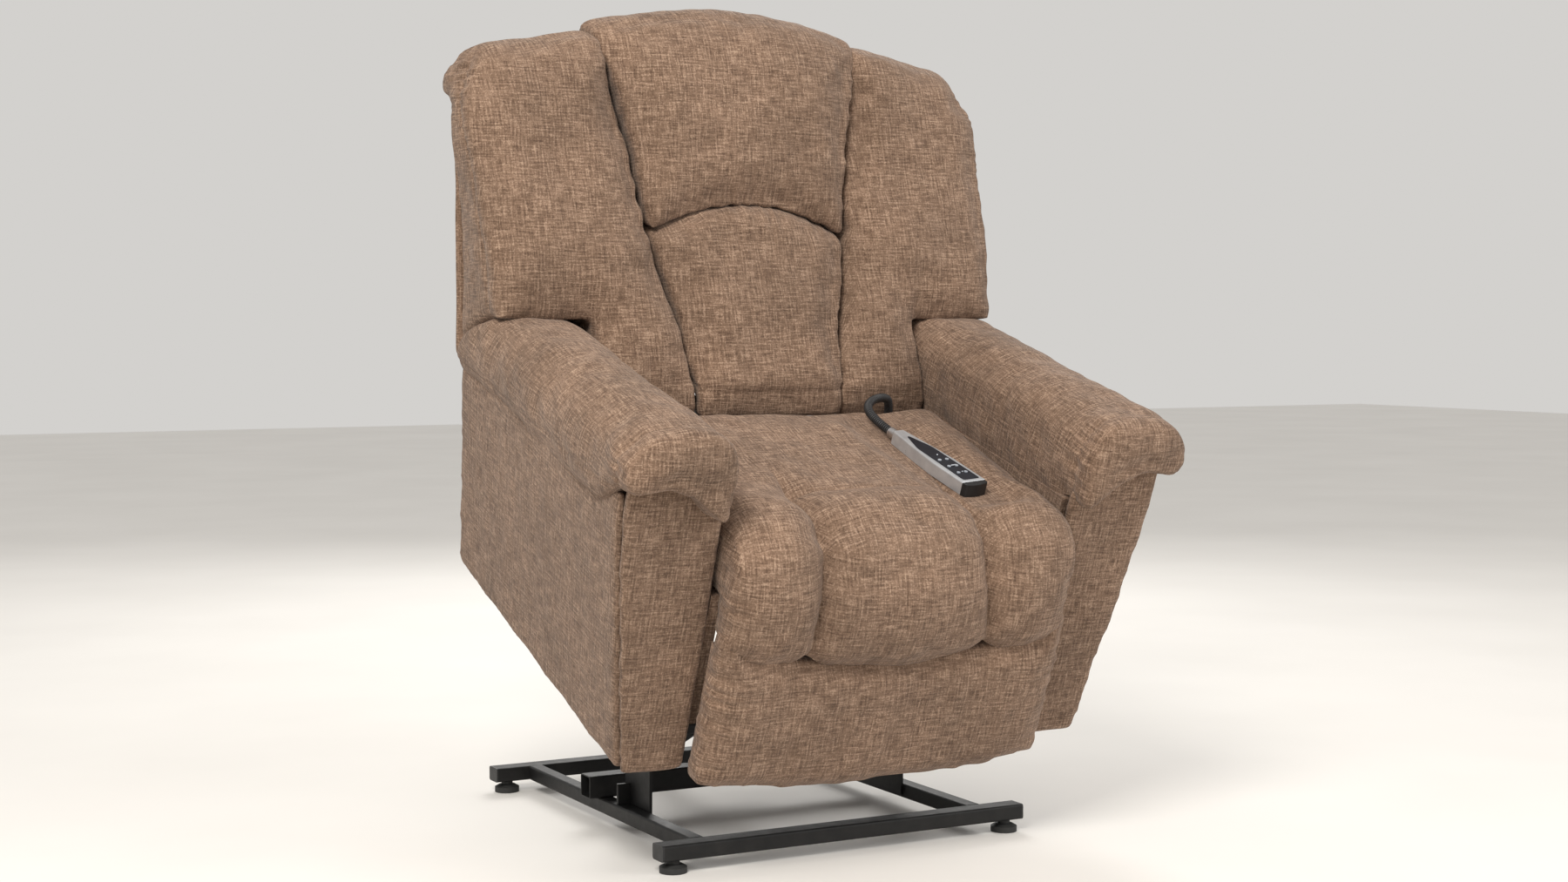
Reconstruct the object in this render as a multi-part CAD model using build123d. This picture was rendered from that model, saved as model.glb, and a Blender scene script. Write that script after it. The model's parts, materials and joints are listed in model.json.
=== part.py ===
"""Power lift recliner chair, shown lifted and tilted forward.

The chair faces -Y and +X is the sitter's left. Everything above the base is drawn in the
chair's own upright frame (y back from the front of the arms, z up) and is then tilted and
raised onto the base by TILT. The origin is the middle of the footprint, on the floor.
"""
import os
from math import atan2, cos, degrees, hypot, pi, radians, sin, tan

from build123d import *

# Base
BASE_WIDTH = 654.0
BASE_DEPTH = 723.0
BAR_DEPTH = 37.0
BAR_HEIGHT = 25.0
BAR_TOP = 45.0
RAIL_WIDTH = 26.5
RAIL_INSET = 61.0
TUBE_WALL = 2.0
TUBE_ROUND = 4.0
FOOT_DIAMETER = 43.0
FOOT_INSET = 26.0
FOOT_HEIGHT = 13.0
STUD_DIAMETER = 10.0
CROSS_BEAM = 38.0
CROSS_BEAM_Y = 369.0
CROSS_BEAM_HALF = 286.0
CAP_THICKNESS = 3.0
CAP_PLUG = 12.0

# Lift linkage, in the base frame at the lifted pose (y, z)
TILT = 22.0
CORNER_Y = -25.0
CORNER_Z = 160.0
PANEL_BOTTOM = 35.0
FRONT_LINK_PIVOT = (250.0, 178.0)
REAR_LINK_PIVOT = (299.0, 187.0)
FRONT_LUG = (527.0, 60.0)
REAR_LUG = (640.0, 60.0)
LINK_THICKNESS = 8.0
LINK_WIDTH = 30.0
LUG_THICKNESS = 5.0
SIDE_GAP = 1.0
PIN_DIAMETER = 12.0
PIN_CLEARANCE = 0.05
PIN_PROUD = 0.6
OPEN_PIN_CLEARANCE = 1.0
TORQUE_TUBE_DIAMETER = 30.0
CRANK_LENGTH = 60.0
CRANK_ANGLE = 126.6
CRANK_PLATE = 6.0
BRACKET_FRONT = 236.0
BRACKET_REAR = 333.0

# Actuators: motor pivot, rod pivot (y, z) and their side offsets
LIFT_MOTOR_PIVOT = (560.0, 127.0)
LIFT_MOTOR_X = 0.0
BACK_MOTOR_PIVOT = (300.0, 275.0)
BACK_MOTOR_X = -95.0
BACK_LEVER = 137.0
BACK_LEVER_ANGLE = -51.7
FOOT_MOTOR_PIVOT = (281.0, 280.0)
FOOT_MOTOR_X = 95.0
FOOT_LEVER = 50.5
FOOT_LEVER_ANGLE = -68.0
ACTUATOR_TUBE = 40.0
ACTUATOR_BORE = 33.0
ROD_DIAMETER = 18.0
EYE_WIDTH = 20.0
EYE_DIAMETER = 24.0
MOTOR_LENGTH = 88.0
MOTOR_WIDTH = 52.0
MOTOR_DRUM = 42.0
GEARBOX_LENGTH = 44.0
EYE_MARGIN = 7.0
CLEVIS_THICKNESS = 5.0

# Lift frame and seat box, in the chair frame
FRAME_TUBE = 30.0
FRAME_OUTER = 300.0
FRAME_BOTTOM = 78.0
FRAME_FRONT = 112.0
FRAME_REAR = 650.0
REAR_TUBE_Y = 585.0
REAR_TUBE_DEPTH = 40.0
REAR_TUBE_BOTTOM = 98.0
BOARD = 18.0
BOX_HALF = 302.0
BOX_FRONT = 20.0
DECK_Z = 325.0
SPRING_WIRE = 4.0
SPRING_COUNT = 5
REAR_RAIL_Y = 495.0
REAR_RAIL_DEPTH = 38.0

# Cushions
SEAT_HALF = 300.0
SEAT_FRONT = -45.0
SEAT_REAR = 448.0
SEAT_TOP = 432.0
SEAT_REAR_TOP = 420.0
SEAT_LOWER_MIDDLE = 232.0
SEAT_LOWER_CORNER = 271.0
SOFT_GAP = 1.0

# Arms
ARM_INNER = 303.0
ARM_PAD_INNER = 306.0
ARM_PAD_OUTER = 487.0
ARM_TOP_FRONT = 591.0
ARM_SLOPE = 5.6
ARM_BOTTOM_HALF = 408.0
ARM_SEAM_HALF = 473.0
ARM_SEAM_FRONT = 494.0
ARM_SEAM_REAR = 404.0
ARM_REAR = 676.0
ARM_REAR_BOTTOM = 65.0
ARM_REAR_BOTTOM_HALF = 440.0
PANEL_THICKNESS = 18.0
ARM_PAD_BOTTOM = 462.0

# Back
HINGE = (555.0, 395.0)
HINGE_TUBE = 25.0
SWEEP_RADIUS = 140.0
SWEEP_GAP = 3.0
SWEEP_BOTTOM = 308.0
BACK_LEAN = 22.0
BACK_FOOT = (700.0, 392.0)
BACK_HALF = 488.0
BACK_TOP = 978.0
BACK_SHOULDER = 915.0
BACK_ROLL_REAR = 925.0
BACK_NECK = 806.0
OUTER_PANEL_THICKNESS = 14.0
PANEL_LIFT = 28.0
BACK_TUBE = 25.0
BACK_FRONT_LOW = 468.0
BACK_CLEAR_BOTTOM = 430.0
SEAM_TOP = (258.0, 940.0)
SEAM_PINCH = (187.0, 653.0)
SEAM_FOOT = (143.0, 436.0)

# Footrest
FOOT_PIVOT = (60.0, 240.0)
FOOT_LINK_LENGTH = 150.0
FOOT_LINK_ANGLE = -82.0
BOARD_PIVOT = (20.0, 235.0)
FOOT_LINK_THICKNESS = 6.0
FOOT_LINK_WIDTH = 24.0
FOOT_CROSS_ALONG = 90.0
FOOT_CROSS_BEHIND = 15.0
FOOT_CROSS_TUBE = 20.0
FOOT_HALF = 305.0
FOOT_BOTTOM_CORNER = 33.0
FOOT_BOTTOM_MIDDLE = 8.0
FOOT_PAD_FRONT = -42.0
FOOT_PAD_REAR = -9.0
FOOT_BOARD_REAR = 3.0
FOOT_BOARD_BOTTOM = 28.0

# Handset and its cord
HANDSET_TAIL = (143.0, 300.0)
HANDSET_END = (176.0, 92.0)
HANDSET_WIDTH = 48.0
HANDSET_THICKNESS = 22.0
HANDSET_TAIL_WIDTH = 22.0
END_CAP_LENGTH = 14.0
KEYPAD_THICKNESS = 1.6
KEY_DIAMETER = 6.0
KEY_PITCH_X = 15.0
KEY_PITCH_Y = 24.0
KEY_PROUD = 1.2
KEY_CLEARANCE = 0.25
COLLAR_LENGTH = 16.0
COLLAR_DIAMETER = 17.0
CORD_DIAMETER = 15.0
CORD_POINTS = [
    (222, 458, 404), (216, 452, 437), (190, 436, 452), (156, 418, 454),
    (132, 388, 453), (131, 352, 447),
]

BAR_BOTTOM = BAR_TOP - BAR_HEIGHT
RAIL_OUTER = BASE_WIDTH / 2 - RAIL_INSET
LUG_INNER = RAIL_OUTER - RAIL_WIDTH - LUG_THICKNESS
CHAIR = Pos(0, CORNER_Y, CORNER_Z) * Rot(TILT, 0, 0) * Pos(0, 0, -PANEL_BOTTOM)
SIDES = {"right": -1, "left": 1}

NODES = {}


def on_base(name, *shapes):
    """Keep a node that is drawn in the base frame."""
    NODES.setdefault(name, []).extend(shapes)


def on_chair(name, *shapes):
    """Keep a node that is drawn in the chair's upright frame."""
    NODES.setdefault(name, []).extend(CHAIR * shape for shape in shapes)


def box(x0, x1, y0, y1, z0, z1):
    """A block between two corners, whichever way round they are given."""
    low = [min(a, b) for a, b in ((x0, x1), (y0, y1), (z0, z1))]
    size = [abs(b - a) for a, b in ((x0, x1), (y0, y1), (z0, z1))]
    middle = [a + s / 2 for a, s in zip(low, size)]
    return Pos(*middle) * Box(*size)


def along_x(face_yz, x0, x1):
    """Extrude a face drawn in (y, z) from x0 to x1."""
    start = min(x0, x1)
    return extrude(Plane.YZ.offset(start) * face_yz, abs(x1 - x0), dir=(1, 0, 0))


def along_y(face_xz, y0, y1):
    """Extrude a face drawn in (x, z) from y0 to y1."""
    plane = Plane((0, y0, 0), x_dir=(1, 0, 0), z_dir=(0, -1, 0))
    return extrude(plane * face_xz, y1 - y0, dir=(0, 1, 0))


def outline(*points, radii=0.0):
    """A closed face through the points, with its corners rounded."""
    return make_face(FilletPolyline(*points, radius=radii, close=True))


def disc(centre, diameter):
    return Pos(*centre) * Circle(diameter / 2)


def rod_x(centre, diameter, x0, x1):
    """A round bar along X about a (y, z) centre."""
    return along_x(disc(centre, diameter), x0, x1)


def rounded_tube(width, height, length, wall, radius):
    """A hollow rectangular tube along X, centred."""
    profile = RectangleRounded(width, height, radius)
    profile -= RectangleRounded(width - 2 * wall, height - 2 * wall, radius - wall / 2)
    return Pos(-length / 2, 0, 0) * extrude(Plane.YZ * profile, length, dir=(1, 0, 0))


def link_bar(start, end, width, x0, x1, hole_start, hole_end):
    """A flat bar with round ends between two (y, z) pivots, drilled at each."""
    length = hypot(end[0] - start[0], end[1] - start[1])
    angle = degrees(atan2(end[1] - start[1], end[0] - start[0]))
    middle = ((start[0] + end[0]) / 2, (start[1] + end[1]) / 2)
    face = Pos(*middle) * Rot(0, 0, angle) * Rectangle(length, width)
    face += disc(start, width) + disc(end, width)
    face -= disc(start, hole_start) + disc(end, hole_end)
    return along_x(face, x0, x1)


def polar(origin, length, angle):
    """The (y, z) point at a length and an angle in degrees from an origin."""
    return (origin[0] + length * cos(radians(angle)), origin[1] + length * sin(radians(angle)))


def chair_to_base(point):
    """A (y, z) point of the chair frame in the base frame."""
    y, z = point[0], point[1] - PANEL_BOTTOM
    turn = radians(TILT)
    return (CORNER_Y + y * cos(turn) - z * sin(turn), CORNER_Z + y * sin(turn) + z * cos(turn))


RUN_HOLE = PIN_DIAMETER + 2 * PIN_CLEARANCE
OPEN_HOLE = PIN_DIAMETER + 2 * OPEN_PIN_CLEARANCE
CRANK_END = polar(FRONT_LINK_PIVOT, CRANK_LENGTH, CRANK_ANGLE)
BACK_ROD_PIVOT = polar(HINGE, BACK_LEVER, BACK_LEVER_ANGLE)
FOOT_ROD_PIVOT = polar(FOOT_PIVOT, FOOT_LEVER, FOOT_LEVER_ANGLE)
FOOT_KNEE = polar(FOOT_PIVOT, FOOT_LINK_LENGTH, FOOT_LINK_ANGLE)
FOOT_CROSS = polar(
    polar(FOOT_PIVOT, FOOT_CROSS_ALONG, FOOT_LINK_ANGLE), FOOT_CROSS_BEHIND, FOOT_LINK_ANGLE + 90)


# Base ---------------------------------------------------------------------------------

def base_bars():
    """Front and rear cross bars, side rails between them and the cross beam on top."""
    middle_z = BAR_TOP - BAR_HEIGHT / 2
    length = BASE_WIDTH - 2 * CAP_THICKNESS
    bar = rounded_tube(BAR_DEPTH, BAR_HEIGHT, length, TUBE_WALL, TUBE_ROUND)
    holes = [
        Pos(s * (BASE_WIDTH / 2 - FOOT_INSET), 0, -BAR_HEIGHT / 2) * Cylinder(STUD_DIAMETER / 2, 3 * TUBE_WALL)
        for s in SIDES.values()
    ]
    bar -= holes
    on_base("base_front_bar", Pos(0, BAR_DEPTH / 2, middle_z) * bar)
    on_base("base_rear_bar", Pos(0, BASE_DEPTH - BAR_DEPTH / 2, middle_z) * bar)
    rail_length = BASE_DEPTH - 2 * BAR_DEPTH
    rail = Rot(0, 0, 90) * rounded_tube(RAIL_WIDTH, BAR_HEIGHT, rail_length, TUBE_WALL, TUBE_ROUND)
    for s in SIDES.values():
        on_base("base_side_rails", Pos(s * (RAIL_OUTER - RAIL_WIDTH / 2), BASE_DEPTH / 2, middle_z) * rail)
    beam = rounded_tube(CROSS_BEAM, CROSS_BEAM, 2 * CROSS_BEAM_HALF, TUBE_WALL, TUBE_ROUND)
    on_base("base_cross_beam", Pos(0, CROSS_BEAM_Y + CROSS_BEAM / 2, BAR_TOP + CROSS_BEAM / 2) * beam)


def end_caps():
    """Plastic plugs in the four open ends of the cross bars."""
    head = RectangleRounded(BAR_DEPTH, BAR_HEIGHT, TUBE_ROUND)
    plug = RectangleRounded(BAR_DEPTH - 2 * TUBE_WALL, BAR_HEIGHT - 2 * TUBE_WALL, TUBE_ROUND - TUBE_WALL / 2)
    cap = extrude(Plane.YZ * head, CAP_THICKNESS, dir=(1, 0, 0))
    cap += Pos(-CAP_PLUG, 0, 0) * extrude(Plane.YZ * plug, CAP_PLUG, dir=(1, 0, 0))
    for s in SIDES.values():
        for y in (BAR_DEPTH / 2, BASE_DEPTH - BAR_DEPTH / 2):
            place = Pos(s * (BASE_WIDTH / 2 - CAP_THICKNESS), y, BAR_TOP - BAR_HEIGHT / 2)
            on_base("tube_end_caps", place * Rot(0, 0, 0 if s > 0 else 180) * cap)


def feet():
    """Round levelling feet, each a glide pad on a short stud."""
    skirt = Cylinder(FOOT_DIAMETER / 2, FOOT_HEIGHT - 4, align=(Align.CENTER, Align.CENTER, Align.MIN))
    top = Pos(0, 0, FOOT_HEIGHT - 4) * Cone(
        FOOT_DIAMETER / 2, FOOT_DIAMETER / 2 - 7, 4, align=(Align.CENTER, Align.CENTER, Align.MIN))
    stud_height = BAR_BOTTOM + TUBE_WALL + 4
    stud = Cylinder(STUD_DIAMETER / 2 - 0.3, stud_height, align=(Align.CENTER, Align.CENTER, Align.MIN))
    collar_height = BAR_BOTTOM - FOOT_HEIGHT
    collar = Pos(0, 0, FOOT_HEIGHT) * Cylinder(
        STUD_DIAMETER, collar_height, align=(Align.CENTER, Align.CENTER, Align.MIN))
    foot = skirt + top + stud + collar
    for s in SIDES.values():
        for y in (BAR_DEPTH / 2, BASE_DEPTH - BAR_DEPTH / 2):
            on_base("levelling_feet", Pos(s * (BASE_WIDTH / 2 - FOOT_INSET), y, 0) * foot)


def base_brackets():
    """Upright pivot plates inside the rails, and the lift motor's mount on the rear bar."""
    top = REAR_LINK_PIVOT[1] + 18
    face = outline(
        (BRACKET_FRONT, BAR_BOTTOM + 4), (BRACKET_REAR, BAR_BOTTOM + 4), (BRACKET_REAR - 8, top),
        (BRACKET_FRONT - 2, top - 8), radii=[6, 6, 16, 16])
    face -= disc(FRONT_LINK_PIVOT, PIN_DIAMETER) + disc(REAR_LINK_PIVOT, PIN_DIAMETER)
    for s in SIDES.values():
        inner = s * LUG_INNER
        plate = along_x(face, inner, inner + s * LUG_THICKNESS)
        gusset = box(inner, s * (RAIL_OUTER - 4), BRACKET_REAR - 24, BRACKET_REAR - 18, BAR_TOP, BAR_TOP + 34)
        gusset -= plate
        on_base("base_brackets", plate + gusset)
    y, z = LIFT_MOTOR_PIVOT
    mount = outline(
        (y - 15, z + 15), (y + 7, z + 15), (y + 17, z - 3), (BASE_DEPTH - 4, BAR_TOP + 22), (BASE_DEPTH - 4, BAR_TOP),
        (BASE_DEPTH - BAR_DEPTH + 3, BAR_TOP), (y - 15, z - 15), radii=[14, 8, 12, 6, 0, 0, 14])
    mount -= disc(LIFT_MOTOR_PIVOT, PIN_DIAMETER)
    half = EYE_WIDTH / 2 + SIDE_GAP
    cheeks = [along_x(mount, s * half, s * (half + CLEVIS_THICKNESS)) for s in SIDES.values()]
    web = box(-half, half, BASE_DEPTH - BAR_DEPTH + 8, BASE_DEPTH - 6, BAR_TOP, BAR_TOP + 6)
    on_base("base_brackets", cheeks[0] + cheeks[1] + web)


def base_pins():
    """Pins of the four base pivots and of the lift motor."""
    outer = LUG_INNER + LUG_THICKNESS
    for s in SIDES.values():
        on_base("base_pivot_pins", rod_x(
            FRONT_LINK_PIVOT, PIN_DIAMETER, s * (LUG_INNER - SIDE_GAP - LINK_THICKNESS - 2), s * (outer + 2)))
        on_base("base_pivot_pins", rod_x(
            REAR_LINK_PIVOT, PIN_DIAMETER, s * (LUG_INNER - PIN_PROUD), s * (outer + SIDE_GAP + LINK_THICKNESS + 2)))
    half = EYE_WIDTH / 2 + SIDE_GAP + CLEVIS_THICKNESS + 2
    on_base("base_pivot_pins", rod_x(LIFT_MOTOR_PIVOT, PIN_DIAMETER, -half, half))


# Lift linkage ---------------------------------------------------------------------------

def lift_links():
    """Front links on a torque tube with the crank, and the rear links outside the plates."""
    front_top = chair_to_base(FRONT_LUG)
    rear_top = chair_to_base(REAR_LUG)
    outer = LUG_INNER - SIDE_GAP
    for s in SIDES.values():
        on_base("front_lift_links", link_bar(
            FRONT_LINK_PIVOT, front_top, LINK_WIDTH, s * (outer - LINK_THICKNESS), s * outer, RUN_HOLE, RUN_HOLE))
        start = LUG_INNER + LUG_THICKNESS + SIDE_GAP
        on_base("rear_lift_links", link_bar(
            REAR_LINK_PIVOT, rear_top, LINK_WIDTH, s * start, s * (start + LINK_THICKNESS), RUN_HOLE, OPEN_HOLE))
    reach = outer - LINK_THICKNESS
    tube = rod_x(FRONT_LINK_PIVOT, TORQUE_TUBE_DIAMETER, -reach, reach)
    bore = TORQUE_TUBE_DIAMETER - 6
    tube -= rod_x(FRONT_LINK_PIVOT, bore, -reach, reach)
    half = EYE_WIDTH / 2 + SIDE_GAP
    arm = link_bar(FRONT_LINK_PIVOT, CRANK_END, LINK_WIDTH, half, half + CRANK_PLATE, bore, PIN_DIAMETER)
    other = link_bar(FRONT_LINK_PIVOT, CRANK_END, LINK_WIDTH, -half - CRANK_PLATE, -half, bore, PIN_DIAMETER)
    pin = rod_x(CRANK_END, PIN_DIAMETER, -half - CRANK_PLATE - 2, half + CRANK_PLATE + 2)
    on_base("lift_torque_tube", tube + arm + other + pin)


def lift_frame():
    """Side tubes, front and rear cross tubes, lugs and lug pins under the seat box."""
    side = box(FRAME_OUTER - FRAME_TUBE, FRAME_OUTER, FRAME_FRONT, FRAME_REAR, FRAME_BOTTOM, FRAME_BOTTOM + FRAME_TUBE)
    inner = FRAME_OUTER - FRAME_TUBE
    side -= box(inner + TUBE_WALL, FRAME_OUTER - TUBE_WALL, FRAME_FRONT, FRAME_REAR,
                FRAME_BOTTOM + TUBE_WALL, FRAME_BOTTOM + FRAME_TUBE - TUBE_WALL)
    on_chair("lift_frame", side, mirror(side, Plane.YZ))
    front = rounded_tube(FRAME_TUBE, FRAME_TUBE, 2 * inner, TUBE_WALL, TUBE_ROUND)
    on_chair("lift_frame", Pos(0, FRAME_FRONT + FRAME_TUBE / 2, FRAME_BOTTOM + FRAME_TUBE / 2) * front)
    rear_height = FRAME_BOTTOM + FRAME_TUBE + 20 - REAR_TUBE_BOTTOM
    rear = rounded_tube(REAR_TUBE_DEPTH, rear_height, 2 * inner, TUBE_WALL, TUBE_ROUND)
    rear = Pos(0, REAR_TUBE_Y + REAR_TUBE_DEPTH / 2, REAR_TUBE_BOTTOM + rear_height / 2) * rear
    radius = LINK_WIDTH / 2 + 3
    lug = outline(
        (FRONT_LUG[0] - radius, FRONT_LUG[1] - radius), (REAR_LUG[0] + radius, REAR_LUG[1] - radius),
        (REAR_LUG[0] + radius, REAR_LUG[1] + radius), (REAR_TUBE_Y + REAR_TUBE_DEPTH, REAR_TUBE_BOTTOM),
        (REAR_TUBE_Y, REAR_TUBE_BOTTOM), (FRONT_LUG[0] - radius, FRONT_LUG[1] + radius),
        radii=[radius - 2, radius - 2, 8, 0, 0, 8])
    lug -= disc(FRONT_LUG, PIN_DIAMETER) + disc(REAR_LUG, PIN_DIAMETER)
    for s in SIDES.values():
        rear += along_x(lug, s * LUG_INNER, s * (LUG_INNER + LUG_THICKNESS))
    on_chair("lift_frame", rear)
    outer = LUG_INNER + LUG_THICKNESS
    for s in SIDES.values():
        on_chair("chair_pivot_pins", rod_x(
            FRONT_LUG, PIN_DIAMETER, s * (LUG_INNER - SIDE_GAP - LINK_THICKNESS - 2), s * (outer + 0.6)))
        on_chair("chair_pivot_pins", rod_x(
            REAR_LUG, PIN_DIAMETER, s * (LUG_INNER - PIN_PROUD), s * (outer + SIDE_GAP + LINK_THICKNESS + 2)))


# Actuators ------------------------------------------------------------------------------

def actuator(name, motor_pivot, rod_pivot, x, tube_length, retract, keep):
    """A motor with its outer tube on one pivot, and a rod with its eye on the other.

    The motor drum lies across the lift actuator, and hangs below the two under the seat.
    """
    length = hypot(rod_pivot[0] - motor_pivot[0], rod_pivot[1] - motor_pivot[1])
    angle = degrees(atan2(rod_pivot[1] - motor_pivot[1], rod_pivot[0] - motor_pivot[0]))
    place = Pos(x, *motor_pivot) * Rot(angle, 0, 0)
    eye = along_x(disc((0, 0), EYE_DIAMETER) - disc((0, 0), RUN_HOLE), -EYE_WIDTH / 2, EYE_WIDTH / 2)
    gear_start = EYE_DIAMETER / 2 + EYE_MARGIN
    gear_end = gear_start + GEARBOX_LENGTH
    neck = box(-EYE_WIDTH / 2, EYE_WIDTH / 2, EYE_DIAMETER / 2 - 2, gear_start, -8, 8)
    gearbox = box(-MOTOR_WIDTH / 2, MOTOR_WIDTH / 2, gear_start, gear_end, -MOTOR_WIDTH / 2 + 2, MOTOR_WIDTH / 2 - 2)
    gearbox = fillet(gearbox.edges().filter_by(Axis.X), 6)
    drum_y = (gear_start + gear_end) / 2
    reach = MOTOR_WIDTH / 2 - 2 + MOTOR_LENGTH / 2
    if keep is on_base:
        drum = Pos(reach, drum_y, 0) * Rot(0, 90, 0) * Cylinder(MOTOR_DRUM / 2, MOTOR_LENGTH)
    else:
        down = -1 if rod_pivot[0] > motor_pivot[0] else 1
        drum = Pos(0, drum_y, down * reach) * Cylinder(MOTOR_DRUM / 2, MOTOR_LENGTH)
    ring = Plane.XZ * Circle(ACTUATOR_TUBE / 2) - Plane.XZ * Circle(ACTUATOR_BORE / 2)
    tube = Pos(0, gear_end, 0) * extrude(ring, tube_length - gear_end, dir=(0, 1, 0))
    keep(f"{name}_motor", place * (eye + neck + gearbox + drum))
    keep(f"{name}_tube", place * tube)
    rod_start = gear_end + retract
    rod = Pos(0, rod_start, 0) * extrude(
        Plane.XZ * Circle(ROD_DIAMETER / 2), length - EYE_DIAMETER / 2 + 2 - rod_start, dir=(0, 1, 0))
    rod += Pos(0, length, 0) * eye
    rod -= rod_x((length, 0), RUN_HOLE, -EYE_WIDTH, EYE_WIDTH)
    keep(f"{name}_rod", place * rod)


def actuators():
    actuator("lift_actuator", LIFT_MOTOR_PIVOT, CRANK_END, LIFT_MOTOR_X, 190, 62, on_base)
    actuator("back_actuator", BACK_MOTOR_PIVOT, BACK_ROD_PIVOT, BACK_MOTOR_X, 185, 68, on_chair)
    actuator("footrest_actuator", FOOT_MOTOR_PIVOT, FOOT_ROD_PIVOT, FOOT_MOTOR_X, 165, 6, on_chair)


# Seat box -------------------------------------------------------------------------------

def seat_box():
    """Timber side boards and rails, the motor carrier, the springs and the rear cover."""
    inner = BOX_HALF - BOARD
    bottom = FRAME_BOTTOM + FRAME_TUBE
    for s in SIDES.values():
        on_chair("seat_side_boards", box(s * inner, s * BOX_HALF, BOX_FRONT, ARM_REAR - 22, bottom, DECK_Z))
    front = box(-inner, inner, BOX_FRONT, BOX_FRONT + BOARD, DECK_Z - 48, DECK_Z)
    rear = box(-inner, inner, REAR_RAIL_Y, REAR_RAIL_Y + REAR_RAIL_DEPTH, DECK_Z - 20, DECK_Z)
    on_chair("seat_rails", front, rear)
    on_chair("rear_cover_panel", box(
        -ARM_INNER + 0.5, ARM_INNER - 0.5, ARM_REAR - 20, ARM_REAR - 6, ARM_REAR_BOTTOM + 20, 300))
    on_chair("control_box", fillet(
        box(inner - 46, inner, 400, 520, 180, 262).edges().filter_by(Axis.X), 6).solid()
        - box(inner - 32, inner - 14, 500, 521, 205, 222))


def motor_carrier():
    """A cross bar between the side boards that carries the two seat motors' clevises."""
    inner = BOX_HALF - BOARD
    bar_y = (FOOT_MOTOR_PIVOT[0] + BACK_MOTOR_PIVOT[0]) / 2
    bar = box(-inner, inner, bar_y - 12, bar_y + 12, DECK_Z - 22, DECK_Z - 4)
    half = EYE_WIDTH / 2 + SIDE_GAP
    for pivot, x in ((FOOT_MOTOR_PIVOT, FOOT_MOTOR_X), (BACK_MOTOR_PIVOT, BACK_MOTOR_X)):
        cheek = outline(
            (bar_y - 12, DECK_Z - 10), (bar_y + 12, DECK_Z - 10), (pivot[0] + 13, pivot[1] - 13),
            (pivot[0] - 13, pivot[1] - 13), radii=[0, 0, 10, 10])
        cheek -= disc(pivot, PIN_DIAMETER)
        for s in SIDES.values():
            bar += along_x(cheek, x + s * half, x + s * (half + CLEVIS_THICKNESS))
        on_chair("chair_pivot_pins", rod_x(
            pivot, PIN_DIAMETER, x - half - CLEVIS_THICKNESS - 2, x + half + CLEVIS_THICKNESS + 2))
    on_chair("motor_carrier", bar)


def seat_springs():
    """Zigzag springs stretched over the rails."""
    start = BOX_FRONT + 4
    end = REAR_RAIL_Y + REAR_RAIL_DEPTH - 4
    turns = 18
    step = (end - start) / turns
    swing = 22.0
    z = DECK_Z + SPRING_WIRE / 2
    pitch = 2 * (BOX_HALF - BOARD - 44) / (SPRING_COUNT - 1)
    points = [(0, start, z)]
    for i in range(1, turns):
        side = swing if i % 2 else -swing
        points += [(side, start + (i - 0.5) * step, z), (side, start + (i + 0.5) * step, z)]
    points.append((0, end, z))
    path = FilletPolyline(*points, radius=step * 0.45)
    spring = sweep(Plane(path @ 0, z_dir=path % 0) * Circle(SPRING_WIRE / 2), path=path)
    for i in range(SPRING_COUNT):
        on_chair("seat_springs", Pos((i - (SPRING_COUNT - 1) / 2) * pitch, 0, 0) * spring)


def lower_arc(half, corner, middle):
    """Centre height and radius of the arc through (+-half, corner) and (0, middle)."""
    rise = corner - middle
    radius = (half * half + rise * rise) / (2 * rise)
    return middle + radius, radius


def seat_cushion():
    """The seat cushion, rolling over the front rail to a curved lower edge."""
    bottom = DECK_Z + SPRING_WIRE + SOFT_GAP
    face = outline(
        (SEAT_FRONT, SEAT_LOWER_MIDDLE - 6), (BOX_FRONT - SOFT_GAP, SEAT_LOWER_MIDDLE - 6),
        (BOX_FRONT - SOFT_GAP, bottom), (SEAT_REAR, bottom), (SEAT_REAR, SEAT_REAR_TOP),
        (SEAT_REAR - 120, SEAT_TOP), (SEAT_FRONT + 6, SEAT_TOP),
        radii=[26, 8, 6, 14, 24, 60, 64])
    cushion = along_x(face, -SEAT_HALF, SEAT_HALF)
    centre, radius = lower_arc(SEAT_HALF, SEAT_LOWER_CORNER, SEAT_LOWER_MIDDLE)
    below = Rectangle(3 * SEAT_HALF, 200, align=(Align.CENTER, Align.MAX))
    below = Pos(0, SEAT_LOWER_CORNER + 40) * below - disc((0, centre), 2 * radius)
    on_chair("seat_cushion", cushion - along_y(below, SEAT_FRONT - 20, BOX_FRONT))


# Arms -----------------------------------------------------------------------------------

def sweep_space():
    """The space behind the arms that the reclining back sweeps through."""
    wide = 2 * ARM_PAD_OUTER
    block = box(-wide, wide, HINGE[0] + 6, HINGE[0] + 400, SWEEP_BOTTOM, BACK_TOP)
    return block - rod_x(HINGE, 2 * (SWEEP_RADIUS - SWEEP_GAP), -wide, wide)


def slanted_face(half, bottom, seam_half, top, y_bottom, y_top):
    """A side panel's cross-section, drawn as a flat quadrilateral standing in space."""
    corners = [
        (half - PANEL_THICKNESS, y_bottom, bottom), (half, y_bottom, bottom),
        (seam_half, y_top, top), (seam_half - PANEL_THICKNESS, y_top, top)]
    return make_face(Polyline(*corners, close=True))


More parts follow.
